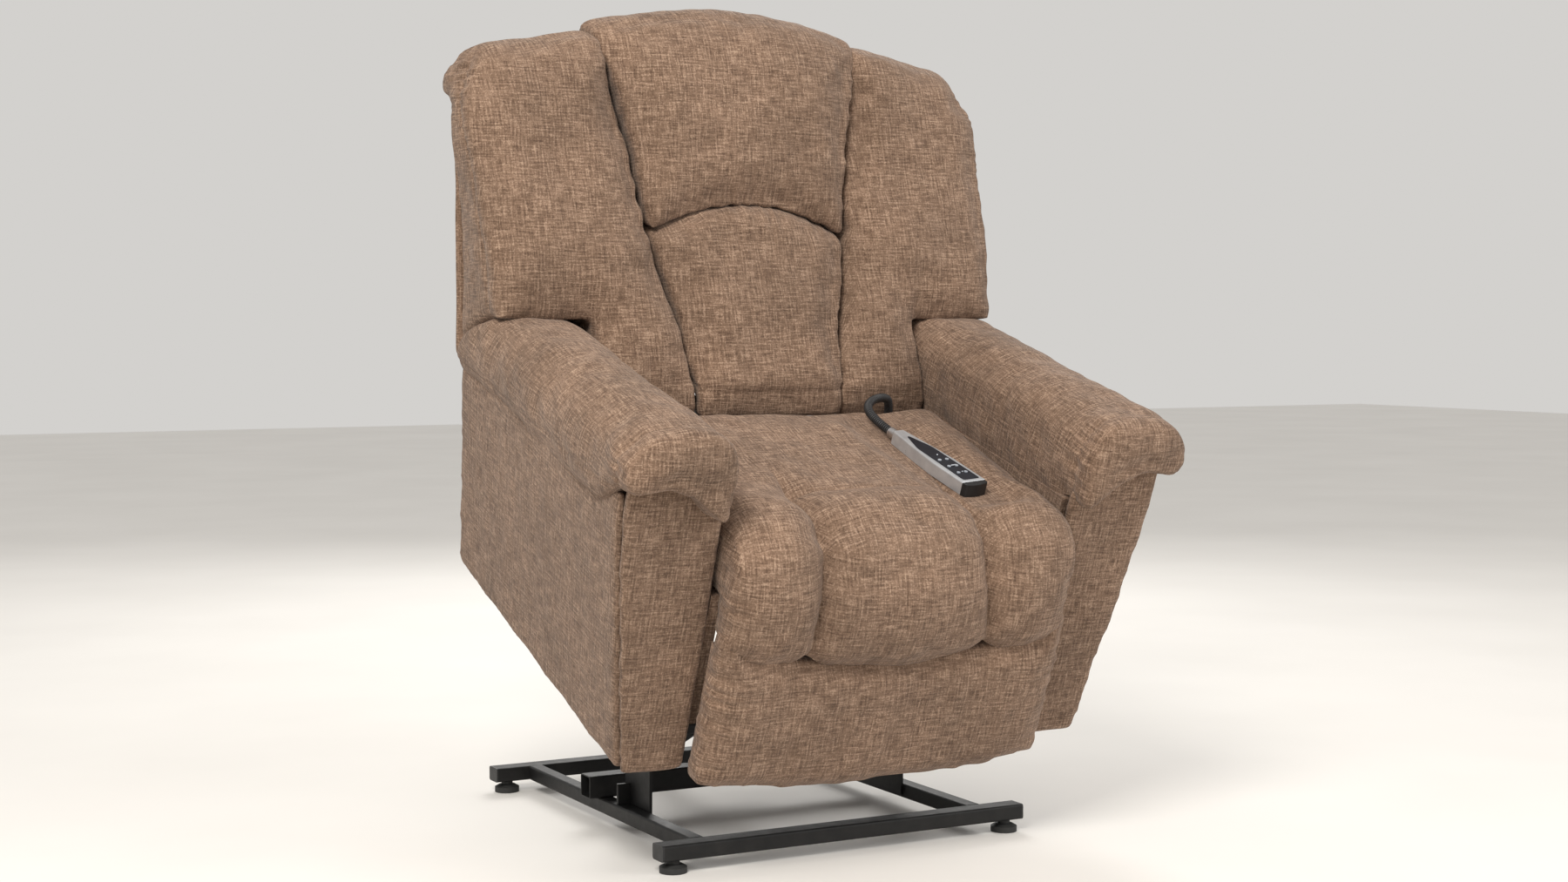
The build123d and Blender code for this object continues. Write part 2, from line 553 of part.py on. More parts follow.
def arms():
    """Frame board, flared side panel, front panel and pad of each arm."""
    clear = sweep_space()
    front_rise = 19.0
    panel_start = PANEL_THICKNESS + 4
    frame_top = ARM_PAD_BOTTOM - 12
    board = outline(
        (panel_start + 2, PANEL_BOTTOM + 6), (ARM_REAR - 8, ARM_REAR_BOTTOM + 6), (ARM_REAR - 8, frame_top - 62),
        (panel_start + 20, frame_top), radii=[2, 2, 4, 4])
    front = slanted_face(ARM_BOTTOM_HALF, PANEL_BOTTOM, ARM_SEAM_HALF, ARM_SEAM_FRONT, panel_start, panel_start + front_rise)
    rear = slanted_face(
        ARM_REAR_BOTTOM_HALF, ARM_REAR_BOTTOM, ARM_SEAM_HALF, ARM_SEAM_REAR, ARM_REAR - 26, ARM_REAR)
    side_panel = Solid.make_loft([front.face().outer_wire(), rear.face().outer_wire()], ruled=True)
    front_panel = front_panel_solid(front_rise)
    pad = arm_pad()
    side_panel = side_panel - clear - pad_room()
    pad = pad - clear
    frame = along_x(board, ARM_INNER, ARM_INNER + BOARD) - clear
    for side, s in SIDES.items():
        place = (lambda shape: shape) if s > 0 else (lambda shape: mirror(shape, Plane.YZ))
        on_chair("arm_frame_boards", place(frame))
        on_chair(f"arm_side_panel_{side}", place(side_panel))
        on_chair(f"arm_front_panel_{side}", place(front_panel))
        on_chair(f"arm_pad_{side}", place(pad))


def front_panel_solid(front_rise):
    """The upright front face of an arm, leaning back as it rises to the pad."""
    top = ARM_PAD_BOTTOM - 4
    face = outline(
        (ARM_PAD_INNER, PANEL_BOTTOM), (ARM_BOTTOM_HALF, PANEL_BOTTOM),
        (ARM_BOTTOM_HALF + (ARM_SEAM_HALF - ARM_BOTTOM_HALF) * 0.93, top), (ARM_PAD_INNER, top),
        radii=[10, 4, 14, 14])
    panel = along_y(face, 0, PANEL_THICKNESS)
    lean = degrees(atan2(front_rise, ARM_SEAM_FRONT - PANEL_BOTTOM))
    return Pos(0, 1, PANEL_BOTTOM) * Rot(-lean, 0, 0) * Pos(0, 0, -PANEL_BOTTOM) * panel


def pad_profile(grow):
    """Cross-section of the pillow pad on an arm, grown on every side."""
    low = ARM_PAD_BOTTOM - grow
    return outline(
        (ARM_PAD_INNER - grow, low), (ARM_PAD_OUTER - 26, low), (ARM_PAD_OUTER + grow, low + 36),
        (ARM_PAD_OUTER + grow, ARM_TOP_FRONT + grow), (ARM_PAD_INNER - grow, ARM_TOP_FRONT + grow),
        radii=[12, 20, 30, 58, 50])


def arm_pad():
    """The pad, sloping down to the back, with its front end rounded."""
    pad = along_y(pad_profile(0), 0, ARM_REAR + 30)
    pad = fillet(pad.faces().sort_by(Axis.Y)[0].edges(), 10)
    return slope_arm(pad)


def pad_room():
    """The room that the pad takes from the top of the side panel."""
    return slope_arm(along_y(pad_profile(SOFT_GAP / 2), 0, ARM_REAR + 60))


def slope_arm(shape):
    return Pos(0, -6, ARM_TOP_FRONT) * Rot(-ARM_SLOPE, 0, 0) * Pos(0, 0, -ARM_TOP_FRONT) * shape


# Back -----------------------------------------------------------------------------------

def back_plane(y):
    """Rear face line of the cushions at a height y above the foot of the back."""
    depth = OUTER_PANEL_THICKNESS + BACK_TUBE + 3 * SOFT_GAP
    return BACK_FOOT[0] - depth / cos(radians(BACK_LEAN)) + y * tan(radians(BACK_LEAN))


def back_rear_line(z):
    return (back_plane(z - BACK_FOOT[1]), z)


def back_side_line(z):
    """The rear of the wings beside the frame, close to the outer panel."""
    depth = (OUTER_PANEL_THICKNESS + SOFT_GAP) / cos(radians(BACK_LEAN))
    return (BACK_FOOT[0] - depth + (z - BACK_FOOT[1]) * tan(radians(BACK_LEAN)), z)


def seam_line(offset):
    """The side seam of the centre panel, moved sideways, from the seat to the top."""
    foot = (SEAM_FOOT[0] + offset, SEAM_FOOT[1] - 80)
    knee = (SEAM_FOOT[0] + offset, SEAM_FOOT[1])
    pinch = (SEAM_PINCH[0] + offset, SEAM_PINCH[1])
    top = (SEAM_TOP[0] + offset, SEAM_TOP[1] + 60)
    return [foot, knee, pinch, top]


def centre_panel_face(low, high):
    """The centre panel between its two seams, cut to a height range by straight lines."""
    right = seam_line(-SOFT_GAP / 2)
    left = [(-x, z) for x, z in reversed(right)]
    face = outline(*(right + left), radii=[0, 60, 60, 0, 0, 60, 60, 0])
    return face & Pos(0, (low + high) / 2) * Rectangle(1200, high - low)


def back_cushions():
    """Lumbar cushion under the head pillow, split by an arched seam."""
    split = SEAM_PINCH[1]
    centre, radius = lower_arc(SEAM_PINCH[0], split, split + 45)
    arch = disc((0, centre), 2 * abs(radius))
    lumbar_side = outline(
        (BACK_FRONT_LOW, 392), (505, 392), (505, BACK_CLEAR_BOTTOM), back_rear_line(BACK_CLEAR_BOTTOM),
        back_rear_line(760), (700, 760), (648, 664), (560, 560), (BACK_FRONT_LOW, 440),
        radii=[10, 6, 4, 8, 0, 0, 30, 60, 40])
    pillow_side = outline(
        (644, 640), back_rear_line(640), back_rear_line(BACK_NECK), (BACK_ROLL_REAR, BACK_NECK),
        (BACK_ROLL_REAR, BACK_TOP), (845, BACK_TOP + 8), (790, 905), (700, 760),
        radii=[20, 0, 4, 10, 30, 45, 60, 60])
    lumbar = along_x(lumbar_side, -400, 400) & along_y(centre_panel_face(300, 800), 400, 1100)
    pillow = along_x(pillow_side, -400, 400) & along_y(centre_panel_face(500, 1100), 400, 1100)
    inside = along_y(arch & Pos(0, split) * Rectangle(1200, 500), 300, 1200)
    gap = along_y(disc((0, centre), 2 * (abs(radius) + SOFT_GAP)) & Pos(0, split) * Rectangle(1200, 500), 300, 1200)
    on_chair("lumbar_cushion", lumbar & inside)
    on_chair("head_pillow", pillow - gap)


def back_wings():
    """Side bolsters: between the arms below, and over the arm tops above."""
    seam = seam_line(SOFT_GAP / 2)
    inner_edge = ARM_INNER - 0.6
    shoulder = outline(
        *seam[1:], (BACK_HALF - 40, BACK_SHOULDER + 4), (BACK_HALF, BACK_SHOULDER - 70), (BACK_HALF, 300),
        (SEAM_FOOT[0] + SOFT_GAP / 2, 300), radii=[60, 60, 0, 60, 60, 0, 0])
    low_side = outline(
        (BACK_FRONT_LOW, 392), (505, 392), (505, BACK_CLEAR_BOTTOM), back_rear_line(BACK_CLEAR_BOTTOM),
        back_rear_line(600), (600, 600), (BACK_FRONT_LOW, 440),
        radii=[10, 6, 4, 0, 0, 0, 40])
    high_side = outline(
        (560, 520), (500, 392), back_side_line(392), back_side_line(560), back_side_line(BACK_NECK),
        (BACK_ROLL_REAR - 10, BACK_NECK), (BACK_ROLL_REAR - 10, BACK_SHOULDER + 5), (835, BACK_SHOULDER + 5),
        (722, 760), (622, 640), radii=[0, 0, 0, 0, 4, 20, 40, 50, 80, 60])
    face = along_y(shoulder, 400, 1100)
    between = along_x(low_side, 0, inner_edge)
    above = along_x(high_side, 0, BACK_HALF + 10)
    above -= box(0, inner_edge, 400, 1100, 300, 560)
    frame_room = outline(
        back_rear_line(300), back_rear_line(BACK_NECK), back_side_line(BACK_NECK), back_side_line(300))
    above -= along_x(frame_room, 0, inner_edge)
    above -= rod_x(HINGE, 2 * SWEEP_RADIUS, inner_edge, BACK_HALF + 20)
    wing = (between + above) & face
    for side, s in SIDES.items():
        on_chair(f"back_wing_{side}", wing if s > 0 else mirror(wing, Plane.YZ))


def lean(shape):
    """Place a shape drawn in the back's own upright plane onto the leaning back."""
    return Pos(0, *BACK_FOOT) * Rot(-BACK_LEAN, 0, 0) * shape


def back_structure():
    """Welded frame inside the back, and the upholstered panel over its rear."""
    height = (BACK_NECK - 6 - BACK_FOOT[1]) / cos(radians(BACK_LEAN))
    panel = outline(
        (-BACK_HALF + 14, PANEL_LIFT), (BACK_HALF - 14, PANEL_LIFT), (BACK_HALF - 14, height - 90), (BACK_HALF - 60, height),
        (-BACK_HALF + 60, height), (-BACK_HALF + 14, height - 90), radii=[8, 8, 60, 60, 60, 60])
    on_chair("outer_back_panel", lean(along_y(panel, -OUTER_PANEL_THICKNESS, 0)))
    front = -OUTER_PANEL_THICKNESS - BACK_TUBE - 1
    rear = front + BACK_TUBE
    reach = FRAME_OUTER - FRAME_TUBE + 2
    frame = box(-reach, reach, front, rear, 24, 24 + BACK_TUBE)
    frame += box(-reach, reach, front, rear, height - 30 - BACK_TUBE, height - 30)
    for s in SIDES.values():
        frame += box(s * (reach - BACK_TUBE), s * reach, front, rear, 24, height - 30)
    on_chair("back_frame", lean(frame))


def recline_hinge():
    """Fixed plates on the seat box, and the back's hinge tube, arms and motor lever."""
    inner = BOX_HALF - BOARD
    eye = 36.0
    plate = outline(
        (HINGE[0] - 14, 265), (HINGE[0] + 30, 265), (HINGE[0] + 30, 330), (HINGE[0] + eye / 2, HINGE[1]),
        (HINGE[0] - eye / 2, HINGE[1]), (HINGE[0] - 14, 340), radii=[4, 4, 10, 0, 0, 4])
    plate += disc(HINGE, eye)
    plate -= disc(HINGE, PIN_DIAMETER)
    arm_x = inner - LUG_THICKNESS - 2 * SIDE_GAP
    rear, front = -OUTER_PANEL_THICKNESS - 2, -OUTER_PANEL_THICKNESS - BACK_TUBE + 3
    arm = outline(
        (HINGE[0], HINGE[1] - 17), (HINGE[0] + 113, HINGE[1] - 15), lean_point(rear, 10), lean_point(rear, 60),
        lean_point(front, 60), lean_point(front, 32), (HINGE[0] + 92, HINGE[1] + 17), (HINGE[0], HINGE[1] + 17),
        radii=[0, 10, 6, 4, 4, 6, 6, 0])
    arm += disc(HINGE, eye - 2)
    arm -= disc(HINGE, RUN_HOLE)
    moving = rod_x(HINGE, HINGE_TUBE, -arm_x + LUG_THICKNESS, arm_x - LUG_THICKNESS)
    moving -= rod_x(HINGE, HINGE_TUBE - 5, -arm_x, arm_x)
    for s in SIDES.values():
        on_chair("recline_hinge_plates", along_x(plate, s * (inner - LUG_THICKNESS), s * inner))
        on_chair("chair_pivot_pins", rod_x(HINGE, PIN_DIAMETER, s * (arm_x - LUG_THICKNESS - 4), s * inner))
        moving += along_x(arm, s * (arm_x - LUG_THICKNESS), s * arm_x)
    half = EYE_WIDTH / 2 + SIDE_GAP
    for s in SIDES.values():
        start = BACK_MOTOR_X + s * half
        moving += link_bar(HINGE, BACK_ROD_PIVOT, 26, start, start + s * CLEVIS_THICKNESS, HINGE_TUBE - 5, PIN_DIAMETER)
    pin_half = half + CLEVIS_THICKNESS + 2
    moving += rod_x(BACK_ROD_PIVOT, PIN_DIAMETER, BACK_MOTOR_X - pin_half, BACK_MOTOR_X + pin_half)
    on_chair("recline_arms", moving)


def lean_point(y, z):
    """A (y, z) point of the back's own plane in the chair frame."""
    turn = radians(BACK_LEAN)
    return (BACK_FOOT[0] + y * cos(turn) + z * sin(turn), BACK_FOOT[1] - y * sin(turn) + z * cos(turn))


# Footrest -------------------------------------------------------------------------------

def footrest_links():
    """Drive links joined by a cross tube, carrying links, and all their pins."""
    inner = BOX_HALF - BOARD
    first = inner - SIDE_GAP - 2
    second = first - FOOT_LINK_THICKNESS - SIDE_GAP
    third = second - FOOT_LINK_THICKNESS - SIDE_GAP
    bore = FOOT_CROSS_TUBE - 2 * TUBE_WALL
    drive = rod_x(FOOT_CROSS, FOOT_CROSS_TUBE, -first, first) - rod_x(FOOT_CROSS, bore, -first, first)
    for s in SIDES.values():
        drive += link_bar(
            FOOT_PIVOT, FOOT_KNEE, FOOT_LINK_WIDTH, s * (first - FOOT_LINK_THICKNESS), s * first,
            RUN_HOLE, PIN_DIAMETER)
        ear = disc(FOOT_CROSS, FOOT_CROSS_TUBE + 10) - disc(FOOT_CROSS, bore)
        drive += along_x(ear, s * (first - FOOT_LINK_THICKNESS), s * first)
        on_chair("footrest_carry_links", link_bar(
            FOOT_KNEE, BOARD_PIVOT, FOOT_LINK_WIDTH, s * (second - FOOT_LINK_THICKNESS), s * second,
            RUN_HOLE, RUN_HOLE))
        on_chair("chair_pivot_pins", rod_x(
            FOOT_PIVOT, PIN_DIAMETER, s * (first - FOOT_LINK_THICKNESS - PIN_PROUD), s * inner))
        drive += rod_x(FOOT_KNEE, PIN_DIAMETER, s * (second - FOOT_LINK_THICKNESS - PIN_PROUD), s * first)
    half = EYE_WIDTH / 2 + SIDE_GAP
    for s in SIDES.values():
        start = FOOT_MOTOR_X + s * half
        drive += link_bar(
            FOOT_CROSS, FOOT_ROD_PIVOT, EYE_DIAMETER - 2, start, start + s * CLEVIS_THICKNESS, bore, PIN_DIAMETER)
    pin_half = half + CLEVIS_THICKNESS + 2
    drive += rod_x(FOOT_ROD_PIVOT, PIN_DIAMETER, FOOT_MOTOR_X - pin_half, FOOT_MOTOR_X + pin_half)
    on_chair("footrest_drive_links", drive)
    return third


def footrest_face(grow):
    """The footrest's front outline: a sagging lower edge under a dished upper edge."""
    half = FOOT_HALF + grow
    gap = 3.0
    top_centre, top_radius = lower_arc(SEAT_HALF, SEAT_LOWER_CORNER - gap, SEAT_LOWER_MIDDLE - gap)
    low_centre, low_radius = lower_arc(FOOT_HALF, FOOT_BOTTOM_CORNER - grow, FOOT_BOTTOM_MIDDLE - grow)
    face = Rectangle(2 * half, 300, align=(Align.CENTER, Align.MIN))
    face = face & disc((0, low_centre), 2 * low_radius)
    return face - disc((0, top_centre), 2 * (top_radius - grow))


def footrest(bracket_x):
    """Board with its pivot brackets, and the padded panel in front of it."""
    above_bar = Pos(0, FOOT_BOARD_BOTTOM) * Rectangle(3 * FOOT_HALF, 400, align=(Align.CENTER, Align.MIN))
    board = along_y(footrest_face(-8) & above_bar, FOOT_PAD_REAR, FOOT_BOARD_REAR)
    bracket = outline(
        (FOOT_BOARD_REAR, BOARD_PIVOT[1] - 20), (BOARD_PIVOT[0] + 12, BOARD_PIVOT[1] - 12),
        (BOARD_PIVOT[0] + 12, BOARD_PIVOT[1] + 12), (FOOT_BOARD_REAR, BOARD_PIVOT[1] + 14),
        radii=[0, 8, 8, 0])
    for s in SIDES.values():
        inner = s * (bracket_x - FOOT_LINK_THICKNESS)
        piece = along_x(bracket, inner, s * bracket_x)
        piece += box(inner, s * (bracket_x - 30), FOOT_BOARD_REAR, FOOT_BOARD_REAR + 3,
                     BOARD_PIVOT[1] - 20, BOARD_PIVOT[1] + 14)
        piece += rod_x(BOARD_PIVOT, PIN_DIAMETER, inner, s * (bracket_x + SIDE_GAP + FOOT_LINK_THICKNESS + 0.6))
        on_chair("footrest_brackets", piece)
    on_chair("footrest_board", board)
    pad = along_y(footrest_face(0), FOOT_PAD_FRONT, FOOT_PAD_REAR)
    on_chair("footrest_pad", pad)


# Handset --------------------------------------------------------------------------------

def handset_place():
    """Where the handset lies: its tail end, its length and its heading."""
    dx, dy = HANDSET_END[0] - HANDSET_TAIL[0], HANDSET_END[1] - HANDSET_TAIL[1]
    return Pos(*HANDSET_TAIL, SEAT_TOP) * Rot(0, 0, degrees(atan2(dy, dx))), hypot(dx, dy)


def handset():
    """Shell, key panel, six keys, end cap and cord collar, drawn along +X from the tail."""
    place, length = handset_place()
    body_end = length - END_CAP_LENGTH
    width, tail = HANDSET_WIDTH / 2, HANDSET_TAIL_WIDTH / 2
    plan = outline(
        (0, -tail), (75, -width + 4), (body_end * 0.6, -width), (body_end, -width), (body_end, width),
        (body_end * 0.6, width), (75, width - 4), (0, tail), radii=[4, 60, 60, 0, 0, 60, 60, 4])
    shell = extrude(plan, HANDSET_THICKNESS)
    shell = fillet(shell.edges().group_by(Axis.Z)[-1], 3)
    panel_plan = outline(
        (20, 0), (70, -width + 9), (body_end - 6, -width + 7), (body_end - 6, width - 7), (70, width - 9),
        radii=[3, 40, 4, 4, 40])
    seat = Pos(0, 0, HANDSET_THICKNESS - KEYPAD_THICKNESS)
    shell -= seat * extrude(panel_plan, 2 * KEYPAD_THICKNESS)
    panel = seat * extrude(panel_plan, KEYPAD_THICKNESS + 0.4)
    well = HANDSET_THICKNESS - 6
    rows = [body_end - 30 - KEY_PITCH_Y * i for i in range(3)]
    number = 0
    for row, x in enumerate(rows):
        for s in (-1, 1):
            number += 1
            hole = Pos(x, s * KEY_PITCH_X / 2, well) * Cylinder(
                KEY_DIAMETER / 2 + KEY_CLEARANCE, 20, align=(Align.CENTER, Align.CENTER, Align.MIN))
            shell -= hole
            panel -= hole
            key_height = HANDSET_THICKNESS + 0.4 + KEY_PROUD - well - 1.2
            key = Pos(x, s * KEY_PITCH_X / 2, well + 1.2) * Cylinder(
                KEY_DIAMETER / 2, key_height, align=(Align.CENTER, Align.CENTER, Align.MIN))
            on_chair(f"key_{number}", place * key)
    cap_plan = outline(
        (body_end, -width), (length - 5, -width + 2), (length, 0), (length - 5, width - 2), (body_end, width),
        radii=[0, 5, 60, 5, 0])
    cap = fillet(extrude(cap_plan, HANDSET_THICKNESS - 0.6).edges().group_by(Axis.Z)[-1], 2)
    middle = HANDSET_THICKNESS / 2
    collar = Plane.YZ * Circle(COLLAR_DIAMETER / 2)
    collar = Pos(0, 0, middle) * extrude(collar, COLLAR_LENGTH, dir=(-1, 0, 0))
    on_chair("handset_shell", place * shell)
    on_chair("handset_key_panel", place * panel)
    on_chair("handset_end_cap", place * cap)
    on_chair("handset_collar", place * collar)
    return (place * Pos(-COLLAR_LENGTH, 0, middle)).position


def handset_cord(last):
    """The curly cord's outer tube, from the gap behind the seat to the handset's collar."""
    points = [Vector(*p) for p in CORD_POINTS] + [last]
    radii = []
    for a, b, c in zip(points, points[1:], points[2:]):
        run = min((b - a).length, (c - b).length)
        turn = (b - a).get_angle(c - b)
        radii.append(0.45 * run / tan(radians(turn) / 2))
    path = FilletPolyline(*points, radius=radii)
    tube = sweep(Plane(path @ 0, z_dir=path % 0) * Circle(CORD_DIAMETER / 2), path=path)
    section = pi * CORD_DIAMETER ** 2 / 4
    print("cord radii", [round(r, 1) for r in radii], "length", round(path.length, 1),
          "volume ratio", round(tube.volume / (section * path.length), 4))
    on_chair("handset_cord", tube)


def build():
    base_bars()
    end_caps()
    feet()
    base_brackets()
    base_pins()
    lift_links()
    lift_frame()
    actuators()
    seat_box()
    motor_carrier()
    seat_springs()
    seat_cushion()
    arms()
    back_cushions()
    back_wings()
    back_structure()
    recline_hinge()
    footrest(footrest_links())
    handset_cord(handset())


def row_origin():
    """The middle of the footprint of everything built."""
    boxes = [shape.bounding_box() for shapes in NODES.values() for shape in shapes]
    return (min(b.min.Y for b in boxes) + max(b.max.Y for b in boxes)) / 2


def export():
    os.makedirs("parts", exist_ok=True)
    shift = row_origin()
    for name, shapes in NODES.items():
        solids = [solid for shape in shapes for solid in shape.solids()]
        moved = [Pos(0, -shift, 0) * solid for solid in solids]
        node = moved[0] if len(moved) == 1 else Compound(moved)
        export_step(node, f"parts/{name}.step")
    pivots = {
        "front_link": FRONT_LINK_PIVOT, "rear_link": REAR_LINK_PIVOT, "front_lug": chair_to_base(FRONT_LUG),
        "lift_motor": LIFT_MOTOR_PIVOT, "crank_end": CRANK_END, "hinge": chair_to_base(HINGE),
        "back_motor": chair_to_base(BACK_MOTOR_PIVOT), "back_rod": chair_to_base(BACK_ROD_PIVOT),
        "foot_pivot": chair_to_base(FOOT_PIVOT), "foot_knee": chair_to_base(FOOT_KNEE),
        "board_pivot": chair_to_base(BOARD_PIVOT), "foot_motor": chair_to_base(FOOT_MOTOR_PIVOT),
        "foot_rod": chair_to_base(FOOT_ROD_PIVOT)}
    print("row shift", round(shift, 3))
    for name, (y, z) in pivots.items():
        print("pivot", name, round(y - shift, 3), round(z, 3))
    print("nodes", len(NODES))


build()
export()
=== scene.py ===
import json
from math import cos, pi, radians, sin

import bmesh
import bpy
import numpy as np
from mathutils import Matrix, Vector


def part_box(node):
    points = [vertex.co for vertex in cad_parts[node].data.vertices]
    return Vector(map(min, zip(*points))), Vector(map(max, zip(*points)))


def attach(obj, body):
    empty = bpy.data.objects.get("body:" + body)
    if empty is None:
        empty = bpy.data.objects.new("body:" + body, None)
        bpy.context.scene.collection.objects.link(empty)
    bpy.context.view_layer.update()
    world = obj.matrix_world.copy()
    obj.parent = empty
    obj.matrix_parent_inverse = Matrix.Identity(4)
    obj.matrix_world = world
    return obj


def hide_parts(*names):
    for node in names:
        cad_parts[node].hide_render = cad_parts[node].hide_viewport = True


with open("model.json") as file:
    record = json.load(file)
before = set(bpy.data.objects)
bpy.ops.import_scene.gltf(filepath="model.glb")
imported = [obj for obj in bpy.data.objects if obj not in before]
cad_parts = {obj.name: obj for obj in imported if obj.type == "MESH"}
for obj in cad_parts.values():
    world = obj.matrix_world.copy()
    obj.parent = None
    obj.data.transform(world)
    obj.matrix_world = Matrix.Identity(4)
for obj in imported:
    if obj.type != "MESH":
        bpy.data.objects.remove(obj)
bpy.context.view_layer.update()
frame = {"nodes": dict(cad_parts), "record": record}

NODES = frame["nodes"]
TILT = radians(22)
FLOOR_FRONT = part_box("base_front_bar")[0][1]
CORNER = np.array([0.0, FLOOR_FRONT - 0.025, 0.160])
PANEL_BOTTOM = 0.035
VOXEL = 0.007
CLOTH_FRAMES = 20
PRESSURE = 4.5
SINK = 0.002
SLIDE = 0.004
PUCKER = 0.55
ARM_SLOPE = 0.098
SEAT_HALF = 0.300
SEAT_REACH = 0.3035
FOOTREST_HALF = 0.305
FOOTREST_REACH = 0.3095
SEAM_HEIGHTS = [0.436, 0.653, 0.94]
SEAM_HALVES = [0.143, 0.187, 0.258]
PINCH_HEIGHT = 0.653
PINCH_HALF = 0.187
ARCH_RISE = 0.045
PRESSED_TOP = 0.4312
LENS = 53.04
CAMERA_PLACE = (-1.801, FLOOR_FRONT - 3.123, 0.842)
CAMERA_TURN = (radians(86.96), 0, radians(-28.3))


# Frames ------------------------------------------------------------------------------

def to_chair(points):
    """Row frame to the tilted chair's own frame: y back from the front, z up its panels."""
    q = np.asarray(points, dtype=float) - CORNER
    y = cos(TILT) * q[:, 1] + sin(TILT) * q[:, 2]
    z = cos(TILT) * q[:, 2] - sin(TILT) * q[:, 1] + PANEL_BOTTOM
    return np.stack([q[:, 0], y, z], axis=1)


def to_row(points):
    """The tilted chair's own frame to the row frame."""
    p = np.asarray(points, dtype=float)
    y, z = p[:, 1], p[:, 2] - PANEL_BOTTOM
    turned = np.stack([p[:, 0], cos(TILT) * y - sin(TILT) * z, sin(TILT) * y + cos(TILT) * z], axis=1)
    return turned + CORNER


def turned_to_chair(ways):
    """Directions in the row frame, in the chair's own frame."""
    y = cos(TILT) * ways[:, 1] + sin(TILT) * ways[:, 2]
    return np.stack([ways[:, 0], y, cos(TILT) * ways[:, 2] - sin(TILT) * ways[:, 1]], axis=1)


def smooth(start, end, value):
    """0 before start, 1 after end, and a smooth rise between, either way round."""
    t = np.clip((value - start) / (end - start), 0, 1)
    return t * t * (3 - 2 * t)


def crease(distance, depth, width):
    """A sewn channel: sharp at the seam and rounding out on both sides."""
    return -depth * np.exp(-np.abs(distance) / width)


def ripple(points, length, seed, waves=7):
    """Soft unevenness, mostly between -1 and 1 and about one length from crest to crest."""
    rng = np.random.RandomState(seed)
    total = np.zeros(len(points))
    for _ in range(waves):
        way = rng.normal(size=3)
        way *= 2 * pi * rng.uniform(0.7, 1.4) / (length * np.linalg.norm(way))
        total += np.sin(points @ way + rng.uniform(0, 2 * pi))
    return total / waves ** 0.5 / 1.4


def puckers(along, away, pitch, depth, reach, seed):
    """Gathers that cross a seam: ridges along it that die out away from it."""
    rng = np.random.RandomState(seed)
    bend = sum(np.sin(along * 2 * pi / (pitch * k) + rng.uniform(0, 6)) for k in (2.3, 3.7, 5.9))
    depth = depth * PUCKER
    fold = np.sin(along * 2 * pi / pitch + 0.9 * bend) * (0.65 + 0.35 * np.sin(along * 31 + seed))
    return depth * fold * np.exp(-(np.abs(away) / reach) ** 1.3)


# Materials ---------------------------------------------------------------------------

